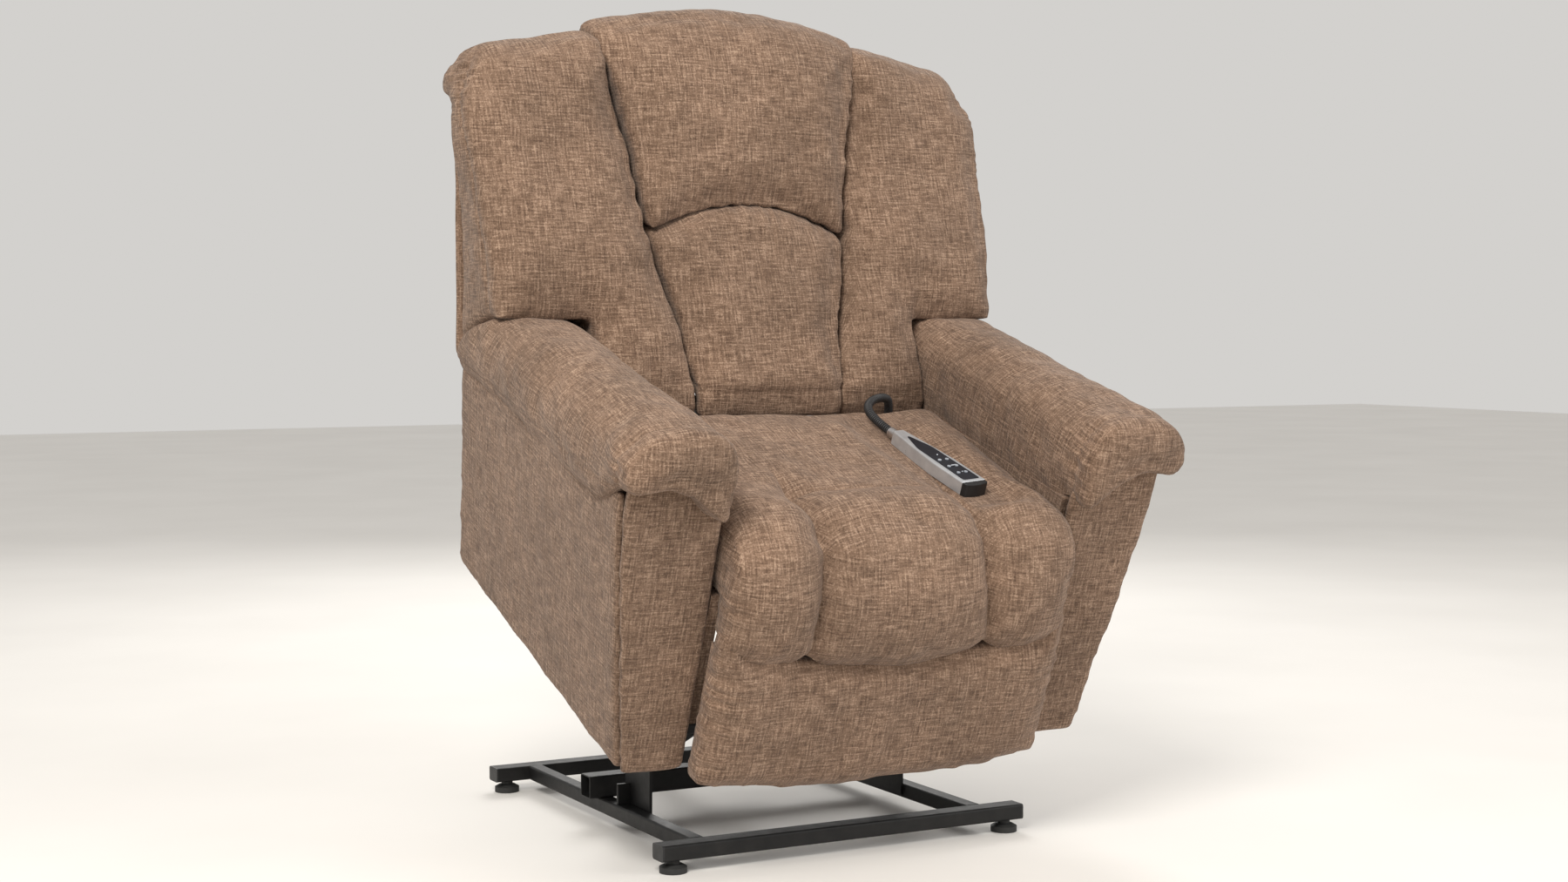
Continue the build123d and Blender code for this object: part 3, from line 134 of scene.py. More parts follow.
class Shader:
    """A small helper that adds nodes to one material and links them."""

    def __init__(self, name, colour, roughness, metallic=0.0):
        self.material = bpy.data.materials.new(name)
        self.material.use_nodes = True
        self.tree = self.material.node_tree
        self.bsdf = self.tree.nodes["Principled BSDF"]
        self.bsdf.inputs["Base Color"].default_value = (*colour, 1)
        self.bsdf.inputs["Roughness"].default_value = roughness
        self.bsdf.inputs["Metallic"].default_value = metallic
        self.coords = self.tree.nodes.new("ShaderNodeTexCoord").outputs["Object"]

    def add(self, kind, **values):
        node = self.tree.nodes.new(kind)
        for key, value in values.items():
            setattr(node, key, value)
        return node

    def link(self, out, into):
        self.tree.links.new(out, into)

    def mapped(self, scale, turn=TILT, source=None):
        """Object coordinates turned into the chair's frame and stretched."""
        node = self.add("ShaderNodeMapping")
        node.inputs["Rotation"].default_value = (-turn, 0, 0)
        self.link(source or self.coords, node.inputs["Vector"])
        stretch = self.add("ShaderNodeVectorMath", operation="MULTIPLY")
        stretch.inputs[1].default_value = scale
        self.link(node.outputs[0], stretch.inputs[0])
        return stretch.outputs[0]

    def noise(self, scale, detail=2.0, rough=0.5, source=None, turn=TILT):
        """Noise from 0 to 1; scale is one number or three, in cycles a metre."""
        if not hasattr(scale, "__len__"):
            scale = (scale, scale, scale)
        node = self.add("ShaderNodeTexNoise")
        node.inputs["Scale"].default_value = 1.0
        node.inputs["Detail"].default_value = detail
        node.inputs["Roughness"].default_value = rough
        self.link(self.mapped(scale, turn, source), node.inputs["Vector"])
        return node.outputs["Fac"]

    def math(self, operation, a, b=None):
        node = self.add("ShaderNodeMath", operation=operation)
        for socket, value in zip(node.inputs, (a, b)):
            if value is None:
                continue
            if isinstance(value, (int, float)):
                socket.default_value = value
            else:
                self.link(value, socket)
        return node.outputs[0]

    def ramp(self, factor, *stops):
        node = self.add("ShaderNodeValToRGB")
        elements = node.color_ramp.elements
        while len(elements) < len(stops):
            elements.new(0.5)
        for element, (place, colour) in zip(elements, stops):
            element.position = place
            element.color = (*colour, 1) if hasattr(colour, "__len__") else (colour, colour, colour, 1)
        self.link(factor, node.inputs[0])
        return node.outputs[0]

    def mix(self, factor, a, b, blend="MIX"):
        node = self.add("ShaderNodeMix", data_type="RGBA", blend_type=blend)
        for socket, value in zip((node.inputs[0], node.inputs[6], node.inputs[7]), (factor, a, b)):
            if isinstance(value, (int, float)):
                socket.default_value = value
            elif hasattr(value, "__len__"):
                socket.default_value = (*value, 1)
            else:
                self.link(value, socket)
        return node.outputs[2]

    def colour(self, out):
        self.link(out, self.bsdf.inputs["Base Color"])

    def roughness(self, factor, low, high):
        node = self.add("ShaderNodeMapRange")
        node.inputs["To Min"].default_value = low
        node.inputs["To Max"].default_value = high
        self.link(factor, node.inputs["Value"])
        self.link(node.outputs[0], self.bsdf.inputs["Roughness"])

    def bump(self, height, distance, strength=1.0):
        node = self.add("ShaderNodeBump")
        node.inputs["Distance"].default_value = distance
        node.inputs["Strength"].default_value = strength
        self.link(height, node.inputs["Height"])
        self.link(node.outputs[0], self.bsdf.inputs["Normal"])


def tweed(name, turn):
    """Heathered chenille tweed: slubby yarns along and across, in browns and beige.

    The yarns are laid on three planes square to the piece, and blended by where its surface faces. Surfaces
    that face up are painted lighter, as painted top light.
    """
    s = Shader(name, (0.2, 0.14, 0.1), 0.92)
    thick, long = 340, 30
    facing = s.add("ShaderNodeMapping", vector_type="VECTOR")
    facing.inputs["Rotation"].default_value = (-turn, 0, 0)
    s.link(s.add("ShaderNodeTexCoord").outputs["Normal"], facing.inputs["Vector"])
    split = s.add("ShaderNodeSeparateXYZ")
    s.link(facing.outputs[0], split.inputs[0])
    shares = [s.math("POWER", s.math("ABSOLUTE", split.outputs[k]), 5.0) for k in range(3)]
    whole = s.math("ADD", s.math("ADD", shares[0], shares[1]), shares[2])
    tone = top = None
    for k, share in enumerate(shares):
        a, b = [axis for axis in range(3) if axis != k]
        scale_a, scale_b = [0, 0, 0], [0, 0, 0]
        scale_a[a], scale_a[b] = long, thick
        scale_b[a], scale_b[b] = thick, long
        weft = s.noise(scale_a, 2.0, 0.68, turn=turn)
        warp = s.noise(scale_b, 2.0, 0.68, turn=turn)
        weight = s.math("DIVIDE", share, whole)
        plane_tone = s.math("MULTIPLY", s.math("ADD", weft, warp), s.math("MULTIPLY", weight, 0.5))
        plane_top = s.math("MULTIPLY", s.math("MAXIMUM", weft, warp), weight)
        tone = plane_tone if tone is None else s.math("ADD", tone, plane_tone)
        top = plane_top if top is None else s.math("ADD", top, plane_top)
    speck = s.noise(420, 1.0, 0.5)
    blend = s.math("ADD", s.math("MULTIPLY", tone, 0.8), s.math("MULTIPLY", speck, 0.2))
    base = s.ramp(blend, (0.39, (0.096, 0.057, 0.038)), (0.465, (0.158, 0.099, 0.066)),
                  (0.525, (0.222, 0.143, 0.098)), (0.62, (0.355, 0.242, 0.172)))
    flecks = s.ramp(s.math("MULTIPLY", top, speck), (0.32, 0.0), (0.40, 1.0))
    base = s.mix(s.math("MULTIPLY", flecks, 0.25), base, (0.46, 0.335, 0.245))
    wear = s.ramp(s.noise(6, 3.0, 0.6), (0.3, 0.84), (0.7, 1.12))
    # Painted top light: the colour grows lighter the more a surface faces up.
    painted_top_light = s.ramp(split.outputs[2], (0.0, 0.97), (0.9, 1.14))
    s.colour(s.mix(1.0, s.mix(1.0, base, wear, "MULTIPLY"), painted_top_light, "MULTIPLY"))
    s.roughness(tone, 0.85, 1.0)
    s.bump(s.math("ADD", top, s.math("MULTIPLY", speck, 0.35)), 0.0022, 1.0)
    s.bsdf.inputs["Sheen Weight"].default_value = 0.10
    s.bsdf.inputs["Sheen Roughness"].default_value = 0.55
    s.bsdf.inputs["Specular IOR Level"].default_value = 0.15
    return s.material


def coated_steel():
    """Satin black powder coat with a fine orange peel and rubbed patches."""
    s = Shader("coated_steel", (0.014, 0.014, 0.015), 0.42)
    scuff = s.noise(26, 5.0, 0.65, turn=0)
    s.colour(s.ramp(scuff, (0.35, (0.006, 0.006, 0.0065)), (0.72, (0.014, 0.0135, 0.013))))
    s.roughness(s.noise(60, 4.0, 0.6, turn=0), 0.38, 0.62)
    s.bump(s.noise(900, 1.0, 0.5, turn=0), 0.0004, 0.35)
    s.bsdf.inputs["Specular IOR Level"].default_value = 0.3
    return s.material


def bright_steel():
    """Zinc plate: drawn lines and dull blooms."""
    s = Shader("bright_steel", (0.6, 0.6, 0.61), 0.32, 1.0)
    s.colour(s.ramp(s.noise(40, 4.0, 0.6), (0.3, (0.42, 0.42, 0.43)), (0.7, (0.68, 0.68, 0.66))))
    s.roughness(s.noise((30, 1400, 1400), 2.0, 0.5), 0.22, 0.45)
    s.bump(s.noise((40, 1600, 1600), 1.0, 0.5), 0.0002, 0.3)
    return s.material


def satin_aluminium():
    s = Shader("satin_aluminium", (0.6, 0.61, 0.63), 0.34, 1.0)
    s.colour(s.ramp(s.noise((20, 700, 700), 3.0, 0.6), (0.3, (0.5, 0.51, 0.53)), (0.7, (0.7, 0.71, 0.73))))
    s.roughness(s.noise(120, 3.0, 0.5), 0.26, 0.42)
    return s.material


def timber():
    """Pine and plywood: grain along the boards, with growth bands and pores."""
    s = Shader("timber", (0.6, 0.42, 0.25), 0.62)
    grain = s.noise((190, 7, 60), 5.0, 0.6)
    bands = s.noise((28, 1.6, 12), 2.0, 0.5)
    tone = s.math("ADD", s.math("MULTIPLY", grain, 0.5), s.math("MULTIPLY", bands, 0.5))
    s.colour(s.ramp(tone, (0.32, (0.30, 0.17, 0.085)), (0.5, (0.56, 0.38, 0.22)), (0.66, (0.70, 0.52, 0.33))))
    s.roughness(grain, 0.5, 0.75)
    s.bump(grain, 0.0006, 0.5)
    return s.material


def moulded(name, low, high, rough_low, rough_high, pimple=1100):
    """Moulded plastic or rubber with a spark-eroded texture and slight mottling."""
    s = Shader(name, high, rough_high)
    s.colour(s.ramp(s.noise(45, 4.0, 0.6), (0.3, low), (0.7, high)))
    s.roughness(s.noise(85, 3.0, 0.6), rough_low, rough_high)
    s.bump(s.noise(pimple, 1.0, 0.5), 0.0003, 0.35)
    return s.material


def key_film():
    """The handset's dark top film: nearly black blue with a soft gloss."""
    s = Shader("key_film", (0.012, 0.014, 0.024), 0.3)
    s.colour(s.ramp(s.noise(70, 3.0, 0.6), (0.3, (0.004, 0.005, 0.010)), (0.7, (0.010, 0.012, 0.020))))
    s.roughness(s.noise(140, 3.0, 0.6), 0.28, 0.42)
    s.bsdf.inputs["Specular IOR Level"].default_value = 0.2
    return s.material


def floor_paint():
    """Pale studio floor with a very slight cloudiness."""
    s = Shader("floor_paint", (0.80, 0.78, 0.75), 0.75)
    s.colour(s.ramp(s.noise(1.5, 3.0, 0.5, turn=0), (0.3, (0.79, 0.77, 0.74)), (0.7, (0.83, 0.81, 0.78))))
    s.bump(s.noise(220, 2.0, 0.5, turn=0), 0.0004, 0.2)
    return s.material


MATERIALS = {
    "fabric": tweed("tweed", TILT),
    "back_fabric": tweed("tweed_on_back", 0.0),
    "black_steel": coated_steel(),
    "bright_steel": bright_steel(),
    "timber": timber(),
    "black_plastic": moulded("black_plastic", (0.005, 0.005, 0.0055), (0.013, 0.013, 0.014), 0.4, 0.6),
    "foot_rubber": moulded("foot_rubber", (0.011, 0.011, 0.011), (0.024, 0.024, 0.023), 0.55, 0.8, 700),
    "tube_metal": satin_aluminium(),
    "handset_silver": moulded("handset_silver", (0.46, 0.475, 0.50), (0.58, 0.595, 0.62), 0.24, 0.36, 1500),
    "handset_panel": key_film(),
    "key_grey": moulded("key_grey", (0.30, 0.33, 0.38), (0.42, 0.45, 0.50), 0.4, 0.55),
    "collar_metal": satin_aluminium(),
    "cord_black": moulded("cord_black", (0.012, 0.012, 0.013), (0.030, 0.030, 0.032), 0.38, 0.6, 1800),
    "print_pale": moulded("print_pale", (0.50, 0.55, 0.62), (0.66, 0.70, 0.76), 0.4, 0.5),
}
MATERIALS["handset_silver"].node_tree.nodes["Principled BSDF"].inputs["Metallic"].default_value = 0.55

for part in frame["record"]["subparts"]:
    piece = NODES[part["node"]]
    wrapped = part["node"] in ("arm_frame_boards", "footrest_board", "seat_side_boards")
    for material_slot in piece.material_slots:
        material_slot.link = "OBJECT"
        material_slot.material = MATERIALS["fabric" if wrapped else part["material_slot"]]


# Soft pieces --------------------------------------------------------------------------

def points_of(mesh):
    flat = np.empty(len(mesh.vertices) * 3)
    mesh.vertices.foreach_get("co", flat)
    return flat.reshape(-1, 3)


def normals_of(mesh):
    flat = np.empty(len(mesh.vertices) * 3)
    mesh.vertices.foreach_get("normal", flat)
    return flat.reshape(-1, 3)


def put_points(mesh, points):
    mesh.vertices.foreach_set("co", np.asarray(points, dtype=float).ravel())
    mesh.update()


def evaluated(piece):
    """The piece's mesh with its modifiers applied, put back on it without them."""
    graph = bpy.context.evaluated_depsgraph_get()
    made = bpy.data.meshes.new_from_object(piece.evaluated_get(graph))
    piece.modifiers.clear()
    piece.data = made
    return made


def relax(mesh, rounds, amount=0.5):
    """Rounds the edges off by moving each point towards its neighbours' mean."""
    pairs = np.empty(len(mesh.edges) * 2, dtype=np.int64)
    mesh.edges.foreach_get("vertices", pairs)
    a, b = pairs[0::2], pairs[1::2]
    count = np.bincount(a, minlength=len(mesh.vertices)) + np.bincount(b, minlength=len(mesh.vertices))
    points = points_of(mesh)
    for _ in range(rounds):
        total = np.zeros_like(points)
        for axis in range(3):
            total[:, axis] = np.bincount(a, points[b, axis], len(points))
            total[:, axis] += np.bincount(b, points[a, axis], len(points))
        points += amount * (total / count[:, None] - points)
    put_points(mesh, points)


class Soft:
    """One cushion or padded panel, made from its CAD solid.

    swell gives how far the filling may push a point out, from its place and its normal.
    """

    def __init__(self, name, node, body, rounds, swell=None, shape=None, detail=None, limit=None, fill=0.7):
        self.name, self.node, self.body = name, node, body
        self.swell, self.detail, self.limit, self.fill = swell, detail, limit, fill
        mesh = NODES[node].data.copy()
        mesh.materials.clear()
        self.piece = bpy.data.objects.new(name, mesh)
        bpy.context.scene.collection.objects.link(self.piece)
        remesh = self.piece.modifiers.new("Remesh", "REMESH")
        remesh.mode = "VOXEL"
        remesh.voxel_size = VOXEL
        mesh = evaluated(self.piece)
        relax(mesh, rounds)
        if shape:
            put_points(mesh, to_row(shape(to_chair(points_of(mesh)))))
        self.start = points_of(mesh)
        self.out = normals_of(mesh)
        if swell:
            self.blow()

    def blow(self):
        cloth = self.piece.modifiers.new("Cloth", "CLOTH")
        cloth.point_cache.frame_start = 1
        cloth.point_cache.frame_end = CLOTH_FRAMES
        s = cloth.settings
        s.quality = 4
        s.use_pressure = True
        s.uniform_pressure_force = PRESSURE
        s.effector_weights.gravity = 0.0
        s.bending_stiffness = 2.0

    def settle(self):
        """Keeps the simulated shape within its caps, then subdivides and adds the seams."""
        if self.piece.modifiers:
            mesh = evaluated(self.piece)
            move = points_of(mesh) - self.start
            out = np.sum(move * self.out, axis=1)
            slide = move - out[:, None] * self.out
            size = np.maximum(np.linalg.norm(slide, axis=1, keepdims=True), 1e-9)
            cap = np.maximum(self.swell(to_chair(self.start), turned_to_chair(self.out)), 0.0005)
            out = np.where(out > 0, cap * np.tanh(out / cap), SINK * np.tanh(out / SINK))
            slide *= SLIDE * np.tanh(size / SLIDE) / size
            put_points(mesh, self.start + slide + out[:, None] * self.out)
            relax(mesh, 3)
        self.piece.modifiers.new("Subdivision", "SUBSURF").levels = 1
        mesh = evaluated(self.piece)
        if self.detail:
            points = points_of(mesh)
            offset = self.detail(to_chair(points))
            put_points(mesh, points + normals_of(mesh) * offset[:, None])
        if self.limit:
            put_points(mesh, to_row(self.limit(to_chair(points_of(mesh)))))
        mesh.polygons.foreach_set("use_smooth", [True] * len(mesh.polygons))
        mesh.materials.clear()
        mesh.materials.append(MATERIALS["back_fabric" if self.body == "back" else "fabric"])
        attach(self.piece, self.body)
        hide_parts(self.node)


def channel_x(p):
    """Where the seat's two sewn channels run: apart at the lower edge, closer at the crest."""
    return np.interp(p[:, 2], [0.243, 0.411], [0.158, 0.140])


def seat_swell(p, n):
    front, top, rear = (np.clip(side, 0, 1) for side in (-n[:, 1], n[:, 2], n[:, 1]))
    crest = smooth(0.16, 0.02, p[:, 1])
    return 0.003 + 0.020 * front ** 1.5 + (0.008 + 0.010 * crest) * top + 0.012 * rear


def seat_shape(p):
    """Lowers the front roll's foremost lower edge over the footrest."""
    p[:, 2] -= 0.012 * smooth(0.32, 0.26, p[:, 2]) * smooth(-0.012, -0.03, p[:, 1])
    return p


def seat_limit(p):
    """Keeps the seat between the arms, and presses it flat under the handset and its cord."""
    p[:, 0] = np.clip(p[:, 0], -SEAT_REACH, SEAT_REACH)
    x, y = p[:, 0], p[:, 1]
    off = np.abs(x - np.interp(y, [0.08, 0.30, 0.36, 0.47], [0.176, 0.143, 0.140, 0.200]))
    pressed = smooth(0.085, 0.040, off) * smooth(0.02, 0.07, y)
    over = np.maximum(p[:, 2] - PRESSED_TOP, 0) * (p[:, 2] > 0.40)
    p[:, 2] -= over * pressed
    return p


def foot_swell(p, n):
    return 0.002 + 0.018 * np.clip(-n[:, 1], 0, 1) ** 1.5


def back_swell(p, n):
    return 0.002 + 0.028 * np.clip(-n[:, 1], 0, 1) ** 1.5 + 0.010 * np.clip(n[:, 2], 0, 1) * (p[:, 2] > 0.8)


def wing_swell(p, n):
    outer = np.clip(n[:, 0] * np.sign(p[:, 0]), 0, 1)
    return 0.002 + 0.024 * np.clip(-n[:, 1], 0, 1) ** 1.5 + 0.006 * outer + 0.010 * np.clip(n[:, 2], 0, 1)


def pad_swell(p, n):
    outer = np.clip(n[:, 0] * np.sign(p[:, 0]), 0, 1)
    inner = np.clip(-n[:, 0] * np.sign(p[:, 0]), 0, 1)
    front = np.clip(-n[:, 1], 0, 1)
    return 0.001 + 0.022 * np.clip(n[:, 2], 0, 1) + 0.010 * outer + 0.020 * front + 0.004 * inner


def pad_shape(p):
    """The front end's lower edge arches over the front panel; the inner side reaches the seat."""
    level = p[:, 2] + ARM_SLOPE * p[:, 1]
    x = np.abs(p[:, 0])
    p[:, 2] -= 0.034 * smooth(0.37, 0.33, x) * smooth(0.52, 0.47, level) * smooth(0.04, 0.09, p[:, 1])
    low = np.interp(x, [0.306, 0.330, 0.365, 0.410, 0.450, 0.475],
                    [0.445, 0.462, 0.493, 0.512, 0.508, 0.494])
    top, floor = 0.591, 0.462
    share = smooth(0.10, 0.045, p[:, 1])
    target = top - (top - p[:, 2]) * (top - low) / (top - floor)
    p[:, 2] += share * (np.where(p[:, 2] < top, target, p[:, 2]) - p[:, 2])
    return p


def front_panel_shape(p):
    """The front panel's top follows the arch of the pad's end, and tucks up behind it."""
    x, z = np.abs(p[:, 0]), p[:, 2]
    target = np.interp(x, [0.306, 0.335, 0.365, 0.410, 0.450, 0.475],
                       [0.470, 0.490, 0.512, 0.528, 0.524, 0.506])
    p[:, 2] += smooth(0.38, 0.455, z) * (target - 0.458)
    p[:, 0] -= np.sign(p[:, 0]) * 0.0035 * smooth(0.340, 0.308, x)
    return p


def side_panel_shape(p):
    """The side panel's upper edge tucks up under the pad."""
    level = p[:, 2] + ARM_SLOPE * p[:, 1]
    p[:, 2] += 0.014 * smooth(0.42, 0.47, level)
    p[:, 2] += 0.022 * smooth(0.42, 0.48, level) * smooth(0.10, 0.05, p[:, 1])
    return p


def seam_half(z):
    """Half the width between the back's two side seams, at each height."""
    return np.interp(z, SEAM_HEIGHTS, SEAM_HALVES)


def seam_warp(p):
    """Bends the back's side seams inwards between their three fixed points."""
    x, z = np.abs(p[:, 0]), p[:, 2]
    near = smooth(0, 1, x / seam_half(z)) * smooth(0.36, 0.20, x)
    shift = np.interp(z, [0.40, 0.52, 0.60, 0.653, 0.70, 0.79, 0.90, 0.98],
                      [0.012, 0.011, 0.006, 0.0, 0.004, 0.009, 0.004, -0.004])
    p[:, 0] -= np.sign(p[:, 0]) * near * shift
    return p


def wing_shape(p):
    """The wings' tops slope down to the outside, and their lower outer sides draw in."""
    p = seam_warp(p)
    x, z = np.abs(p[:, 0]), p[:, 2]
    outward = np.clip((x - 0.26) / 0.21, 0, 1)
    p[:, 2] += smooth(0.80, 0.92, z) * (0.016 - 0.040 * outward)
    p[:, 0] -= np.sign(p[:, 0]) * 0.016 * smooth(0.82, 0.58, z) * smooth(0.38, 0.46, x)
    return p


def lumbar_shape(p):
    """The lumbar's lower front leans out over the back of the seat."""
    p = seam_warp(p)
    share = smooth(0.50, 0.43, p[:, 2]) * smooth(0.56, 0.47, p[:, 1])
    p[:, 1] -= 0.012 * share
    x = np.abs(p[:, 0])
    p[:, 0] += np.sign(p[:, 0]) * 0.007 * smooth(0.52, 0.45, p[:, 2]) * smooth(0.10, 0.14, x)
    return p


def seat_detail(p):
    x, y, z = np.abs(p[:, 0]), p[:, 1], p[:, 2]
    shown = smooth(0.235, 0.10, y) * smooth(0.03, -0.005, y * (z < 0.40))
    shown *= 0.45 + 0.55 * smooth(0.24, 0.30, z)
    middle = np.clip(1 - (x / 0.14) ** 2, 0, 1)
    side = np.clip(1 - ((x - 0.225) / 0.075) ** 2, 0, 1)
    front = smooth(0.16, 0.05, y)
    offset = crease(x - channel_x(p), 0.026, 0.017) * shown
    offset += 0.010 * front * np.maximum(middle, side) * (x < 0.292)
    offset += crease(y - 0.112 - 0.10 * x, 0.006, 0.010) * smooth(0.16, 0.13, x) * (z > 0.38)
    offset += puckers(z, x - channel_x(p), 0.034, 0.0022, 0.030, 3) * shown * (y < 0.05)
    offset += puckers(z, x - SEAT_HALF, 0.030, 0.0030, 0.030, 5) * (y < 0.10)
    return offset + 0.0024 * ripple(p, 0.13, 1) + 0.0010 * ripple(p, 0.045, 2)


def foot_shape(p):
    """The upper corners fill the space beside the seat's lower edge, and the ends reach back."""
    end = smooth(0.255, 0.295, np.abs(p[:, 0]))
    p[:, 2] += 0.024 * end * smooth(0.20, 0.26, p[:, 2])
    p[:, 1] += 0.009 * end * smooth(-0.030, -0.012, p[:, 1])
    return p


def foot_limit(p):
    """Fills the pad's ends out to the arms' front panels."""
    x = p[:, 0] * (1 + 0.010 * smooth(0.24, 0.30, np.abs(p[:, 0])))
    p[:, 0] = np.clip(x, -FOOTREST_REACH, FOOTREST_REACH)
    return p


def foot_detail(p):
    x, z = np.abs(p[:, 0]), p[:, 2]
    side = puckers(z, x - FOOTREST_HALF, 0.026, 0.0034, 0.045, 8)
    return side + 0.0026 * ripple(p, 0.15, 11) + 0.0011 * ripple(p, 0.05, 12)


def arch_line(x):
    """Height of the seam between the lumbar cushion and the head pillow."""
    return PINCH_HEIGHT + ARCH_RISE * np.clip(1 - (x / PINCH_HALF) ** 2, 0, 1)


def pillow_shape(p):
    """The pillow's top edge arches from its side seams to the middle."""
    p = seam_warp(p)
    x, z = np.abs(p[:, 0]), p[:, 2]
    p[:, 2] -= 0.040 * smooth(0.86, 0.97, z) * (x / SEAM_HALVES[-1]) ** 2
    return p


def pillow_detail(p):
    x, y, z = p[:, 0], p[:, 1], p[:, 2]
    above = z - arch_line(x)
    offset = puckers(x + 0.3 * z, above, 0.030, 0.0028, 0.045, 21)
    offset += crease(np.abs(x) - 0.262, 0.010, 0.012) * smooth(0.70, 0.80, z)
    return offset + 0.0026 * ripple(p, 0.14, 22) + 0.0012 * ripple(p, 0.05, 23)


def lumbar_detail(p):
    x, z = p[:, 0], p[:, 2]
    offset = puckers(x - 0.2 * z, z - arch_line(x), 0.032, 0.0022, 0.040, 31)
    offset += crease(z - 0.452, 0.005, 0.010)
    return offset + 0.0024 * ripple(p, 0.14, 32) + 0.0011 * ripple(p, 0.05, 33)


def wing_detail(p):
    x, y, z = np.abs(p[:, 0]), p[:, 1], p[:, 2]
    front_edge = np.interp(z, [0.40, 0.52, 0.64, 0.76, 0.905], [0.50, 0.56, 0.622, 0.722, 0.835])
    boxing = y - front_edge - 0.040
    outer = smooth(0.440, 0.478, x)
    offset = crease(boxing, 0.006, 0.007) * outer * smooth(0.50, 0.56, z)
    high = smooth(0.70, 0.80, z)
    offset += puckers(z + 0.6 * y, boxing, 0.022, 0.0050, 0.040, 41) * outer * high
    offset += puckers(x, z - 0.90, 0.026, 0.0030, 0.030, 42) * smooth(0.40, 0.46, x)
    offset += puckers(z, x - seam_half(z), 0.040, 0.0022, 0.035, 43)
    return offset + 0.0028 * ripple(p, 0.15, 44) + 0.0013 * ripple(p, 0.05, 45)


def pad_detail(p):
    x, y, z = np.abs(p[:, 0]), p[:, 1], p[:, 2]
    ring = y - 0.030
    corner = smooth(0.440, 0.475, x) + smooth(0.345, 0.320, x)
    offset = crease(ring, 0.0045, 0.008) * (0.35 + 0.65 * np.clip(corner, 0, 1))
    offset += puckers(z + x, ring, 0.019, 0.0048, 0.026, 51) * np.clip(corner, 0, 1)
    offset += crease(z - 0.500 + 0.11 * y, 0.003, 0.006) * smooth(0.46, 0.48, x)
    return offset + 0.0024 * ripple(p, 0.13, 52) + 0.0012 * ripple(p, 0.05, 53)


def panel_detail(p):
    return 0.0011 * ripple(p, 0.20, 61) + 0.0006 * ripple(p, 0.06, 62)


def front_panel_detail(p):
    x, z = np.abs(p[:, 0]), p[:, 2]
    return puckers(x, z - 0.50, 0.028, 0.0020, 0.030, 71) + 0.0018 * ripple(p, 0.14, 72)


def back_panel_detail(p):
    return 0.0014 * ripple(p, 0.18, 81) + 0.0006 * ripple(p, 0.06, 82)


softs = [
    Soft("seat_cushion_cover", "seat_cushion", "chair", 8, seat_swell, shape=seat_shape,
         detail=seat_detail, limit=seat_limit, fill=0.85),
    Soft("footrest_pad_cover", "footrest_pad", "footrest_panel", 4, foot_swell, shape=foot_shape,
         detail=foot_detail,
         limit=foot_limit, fill=0.7),
    Soft("lumbar_cover", "lumbar_cushion", "back", 6, back_swell, shape=lumbar_shape, detail=lumbar_detail,
         fill=0.8),
    Soft("head_pillow_cover", "head_pillow", "back", 6, back_swell, shape=pillow_shape, detail=pillow_detail,
         fill=0.8),
]
for side in ("left", "right"):
    softs += [
        Soft(f"wing_cover_{side}", f"back_wing_{side}", "back", 6, wing_swell, shape=wing_shape,
             detail=wing_detail, fill=0.7),
        Soft(f"arm_pad_cover_{side}", f"arm_pad_{side}", "chair", 5, pad_swell, shape=pad_shape,
             detail=pad_detail, fill=0.75),
        Soft(f"arm_side_cover_{side}", f"arm_side_panel_{side}", "chair", 3, shape=side_panel_shape,
             detail=panel_detail, fill=0.2),
        Soft(f"arm_front_cover_{side}", f"arm_front_panel_{side}", "chair", 7, shape=front_panel_shape,
             detail=front_panel_detail, fill=0.4),
    ]
softs += [
    Soft("outer_back_cover", "outer_back_panel", "back", 3, detail=back_panel_detail, fill=0.2),
    Soft("rear_cover", "rear_cover_panel", "chair", 3, detail=back_panel_detail, fill=0.2),
]
for number in range(1, CLOTH_FRAMES + 1):
    bpy.context.scene.frame_set(number)
for soft in softs:
    soft.settle()
bpy.context.scene.frame_set(1)


# Curly cord ---------------------------------------------------------------------------

CORD_POINTS = [
    (0.222, 0.458, 0.404), (0.216, 0.452, 0.437), (0.190, 0.436, 0.452), (0.156, 0.418, 0.454),
    (0.132, 0.388, 0.453), (0.131, 0.352, 0.447), (0.1405, 0.3158, 0.443),
]
CORD_DIAMETER = 0.015
WIRE_DIAMETER = 0.0036
CURL_PITCH = 0.0041
CURL_STEPS = 14


def route_points():
    """The cord's line: a smooth spline with the route's points as its control points."""
    curve = bpy.data.curves.new("cord_route", "CURVE")
    curve.dimensions = "3D"
    curve.resolution_u = 24
    spline = curve.splines.new("NURBS")
    control = to_row(CORD_POINTS)
    spline.points.add(len(control) - 1)
    for point, place in zip(spline.points, control):
        point.co = (*place, 1)
    spline.order_u = 3
    spline.use_endpoint_u = True
    route = bpy.data.objects.new("cord_route", curve)
    bpy.context.scene.collection.objects.link(route)
    graph = bpy.context.evaluated_depsgraph_get()
    line = bpy.data.meshes.new_from_object(route.evaluated_get(graph))
    points = points_of(line)
    bpy.data.objects.remove(route)
    bpy.data.meshes.remove(line)
    return points


def along(points, distances):
    """Points at those distances along a line."""
    steps = np.linalg.norm(np.diff(points, axis=0), axis=1)
    gone = np.concatenate([[0], np.cumsum(steps)])
    return np.stack([np.interp(distances, gone, points[:, k]) for k in range(3)], axis=1), gone[-1]


def frames_along(line):
    """A pair of unit vectors across the line at each of its points, without twist."""
    tangents = np.gradient(line, axis=0)
    tangents /= np.linalg.norm(tangents, axis=1, keepdims=True)
    across = np.cross(tangents[0], (0, 0, 1.0))
    rows = []
    for tangent in tangents:
        across = across - tangent * (across @ tangent)
        across /= np.linalg.norm(across)
        rows.append((across, np.cross(tangent, across)))
    return np.array([r[0] for r in rows]), np.array([r[1] for r in rows])


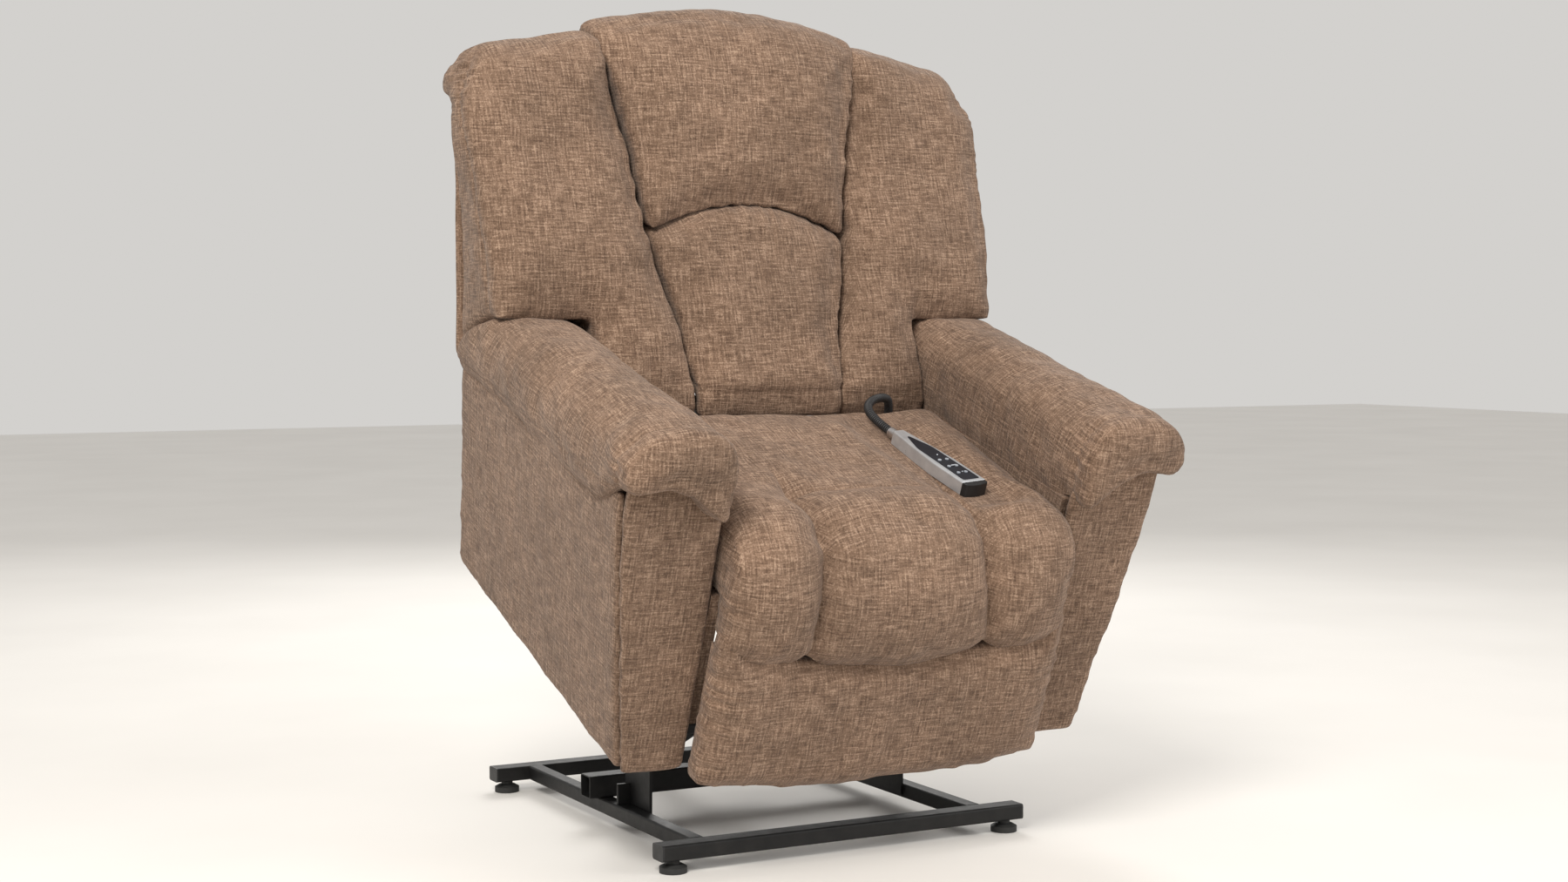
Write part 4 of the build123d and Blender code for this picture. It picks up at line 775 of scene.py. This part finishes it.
def curly_cord():
    route = route_points()
    _, length = along(route, [0])
    turns = length / CURL_PITCH
    count = int(turns * CURL_STEPS)
    line, _ = along(route, np.linspace(0, length, count))
    u, v = frames_along(line)
    angle = np.linspace(0, 2 * pi * turns, count)[:, None]
    radius = (CORD_DIAMETER - WIRE_DIAMETER) / 2
    helix = line + radius * (np.cos(angle) * u + np.sin(angle) * v)
    curve = bpy.data.curves.new("curly_cord_line", "CURVE")
    curve.dimensions = "3D"
    curve.bevel_depth = WIRE_DIAMETER / 2
    curve.bevel_resolution = 3
    curve.use_fill_caps = True
    spline = curve.splines.new("POLY")
    spline.points.add(count - 1)
    for point, place in zip(spline.points, helix):
        point.co = (*place, 1)
    wound = bpy.data.objects.new("curly_cord_line", curve)
    bpy.context.scene.collection.objects.link(wound)
    graph = bpy.context.evaluated_depsgraph_get()
    mesh = bpy.data.meshes.new_from_object(wound.evaluated_get(graph))
    bpy.data.objects.remove(wound)
    mesh.polygons.foreach_set("use_smooth", [True] * len(mesh.polygons))
    mesh.materials.clear()
    mesh.materials.append(MATERIALS["cord_black"])
    piece = bpy.data.objects.new("curly_cord", mesh)
    bpy.context.scene.collection.objects.link(piece)
    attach(piece, "chair")
    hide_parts("handset_cord")
    return piece


curly_cord()


# Handset print ------------------------------------------------------------------------

def handset_print():
    """Raised dots and a dash beside the keys in the handset's three rows."""
    shapes = bmesh.new()
    spots = []
    keys = [(Vector(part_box(f"key_{i}")[0]) + Vector(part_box(f"key_{i}")[1])) / 2 for i in range(1, 7)]
    up = Vector((0, -sin(TILT), cos(TILT)))
    across = (keys[1] - keys[0]).normalized()
    back = (keys[2] - keys[0]).normalized()
    lift = up * 0.0042
    middle = (keys[2] + keys[3]) / 2 + lift
    spots.append((middle, 0.0042, 0.0009))
    spots.append(((keys[0] + keys[1]) / 2 + lift, 0.0010, 0.0010))
    spots.append(((keys[4] + keys[5]) / 2 + back * 0.016 + lift, 0.0012, 0.0012))
    for centre, half_u, half_v in spots:
        ring = []
        for k in range(16):
            a = 2 * pi * k / 16
            ring.append(centre + across * half_u * cos(a) + back * half_v * sin(a))
        low = [shapes.verts.new(q - up * 0.0012) for q in ring]
        high = [shapes.verts.new(q + up * 0.0001) for q in ring]
        shapes.faces.new(high)
        shapes.faces.new(list(reversed(low)))
        for k in range(16):
            shapes.faces.new((low[k], low[(k + 1) % 16], high[(k + 1) % 16], high[k]))
    mesh = bpy.data.meshes.new("handset_marks")
    shapes.to_mesh(mesh)
    shapes.free()
    mesh.materials.append(MATERIALS["print_pale"])
    piece = bpy.data.objects.new("handset_marks", mesh)
    bpy.context.scene.collection.objects.link(piece)
    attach(piece, "chair")


handset_print()


# Stage, light and camera --------------------------------------------------------------

def stage():
    mesh = bpy.data.meshes.new("floor")
    reach = 14.0
    corners = [(-reach, -reach, 0), (reach, -reach, 0), (reach, reach, 0), (-reach, reach, 0)]
    mesh.from_pydata(corners, [], [(0, 1, 2, 3)])
    mesh.materials.append(floor_paint())
    floor = bpy.data.objects.new("floor", mesh)
    bpy.context.scene.collection.objects.link(floor)
    floor.location.z = -0.0002


def area_light(name, place, target, size, power, colour):
    data = bpy.data.lights.new(name, "AREA")
    data.shape = "DISK"
    data.size = size
    data.energy = power
    data.color = colour
    lamp = bpy.data.objects.new(name, data)
    bpy.context.scene.collection.objects.link(lamp)
    lamp.location = place
    lamp.rotation_euler = (Vector(target) - Vector(place)).to_track_quat("-Z", "Y").to_euler()


stage()
area_light("key_light", (-2.7, -2.6, 3.7), (0, 0, 0.7), 2.0, 180, (1.0, 0.96, 0.90))
area_light("fill_light", (3.0, -3.2, 2.2), (0, 0, 0.7), 2.6, 60, (1.0, 0.98, 0.96))
area_light("rim_light", (1.6, 3.4, 2.8), (0, 0, 0.8), 2.0, 70, (1.0, 0.98, 0.95))
world = bpy.data.worlds.new("studio")
world.use_nodes = True
world.node_tree.nodes["Background"].inputs["Color"].default_value = (0.93, 0.91, 0.88, 1)
world.node_tree.nodes["Background"].inputs["Strength"].default_value = 0.70
bpy.context.scene.world = world
bpy.context.scene.view_settings.view_transform = "Standard"

camera_data = bpy.data.cameras.new("camera")
camera_data.lens = LENS
camera_data.sensor_width = 36.0
camera = bpy.data.objects.new("camera", camera_data)
bpy.context.scene.collection.objects.link(camera)
camera.location = CAMERA_PLACE
camera.rotation_euler = CAMERA_TURN
bpy.context.scene.camera = camera

bpy.context.view_layer.update()
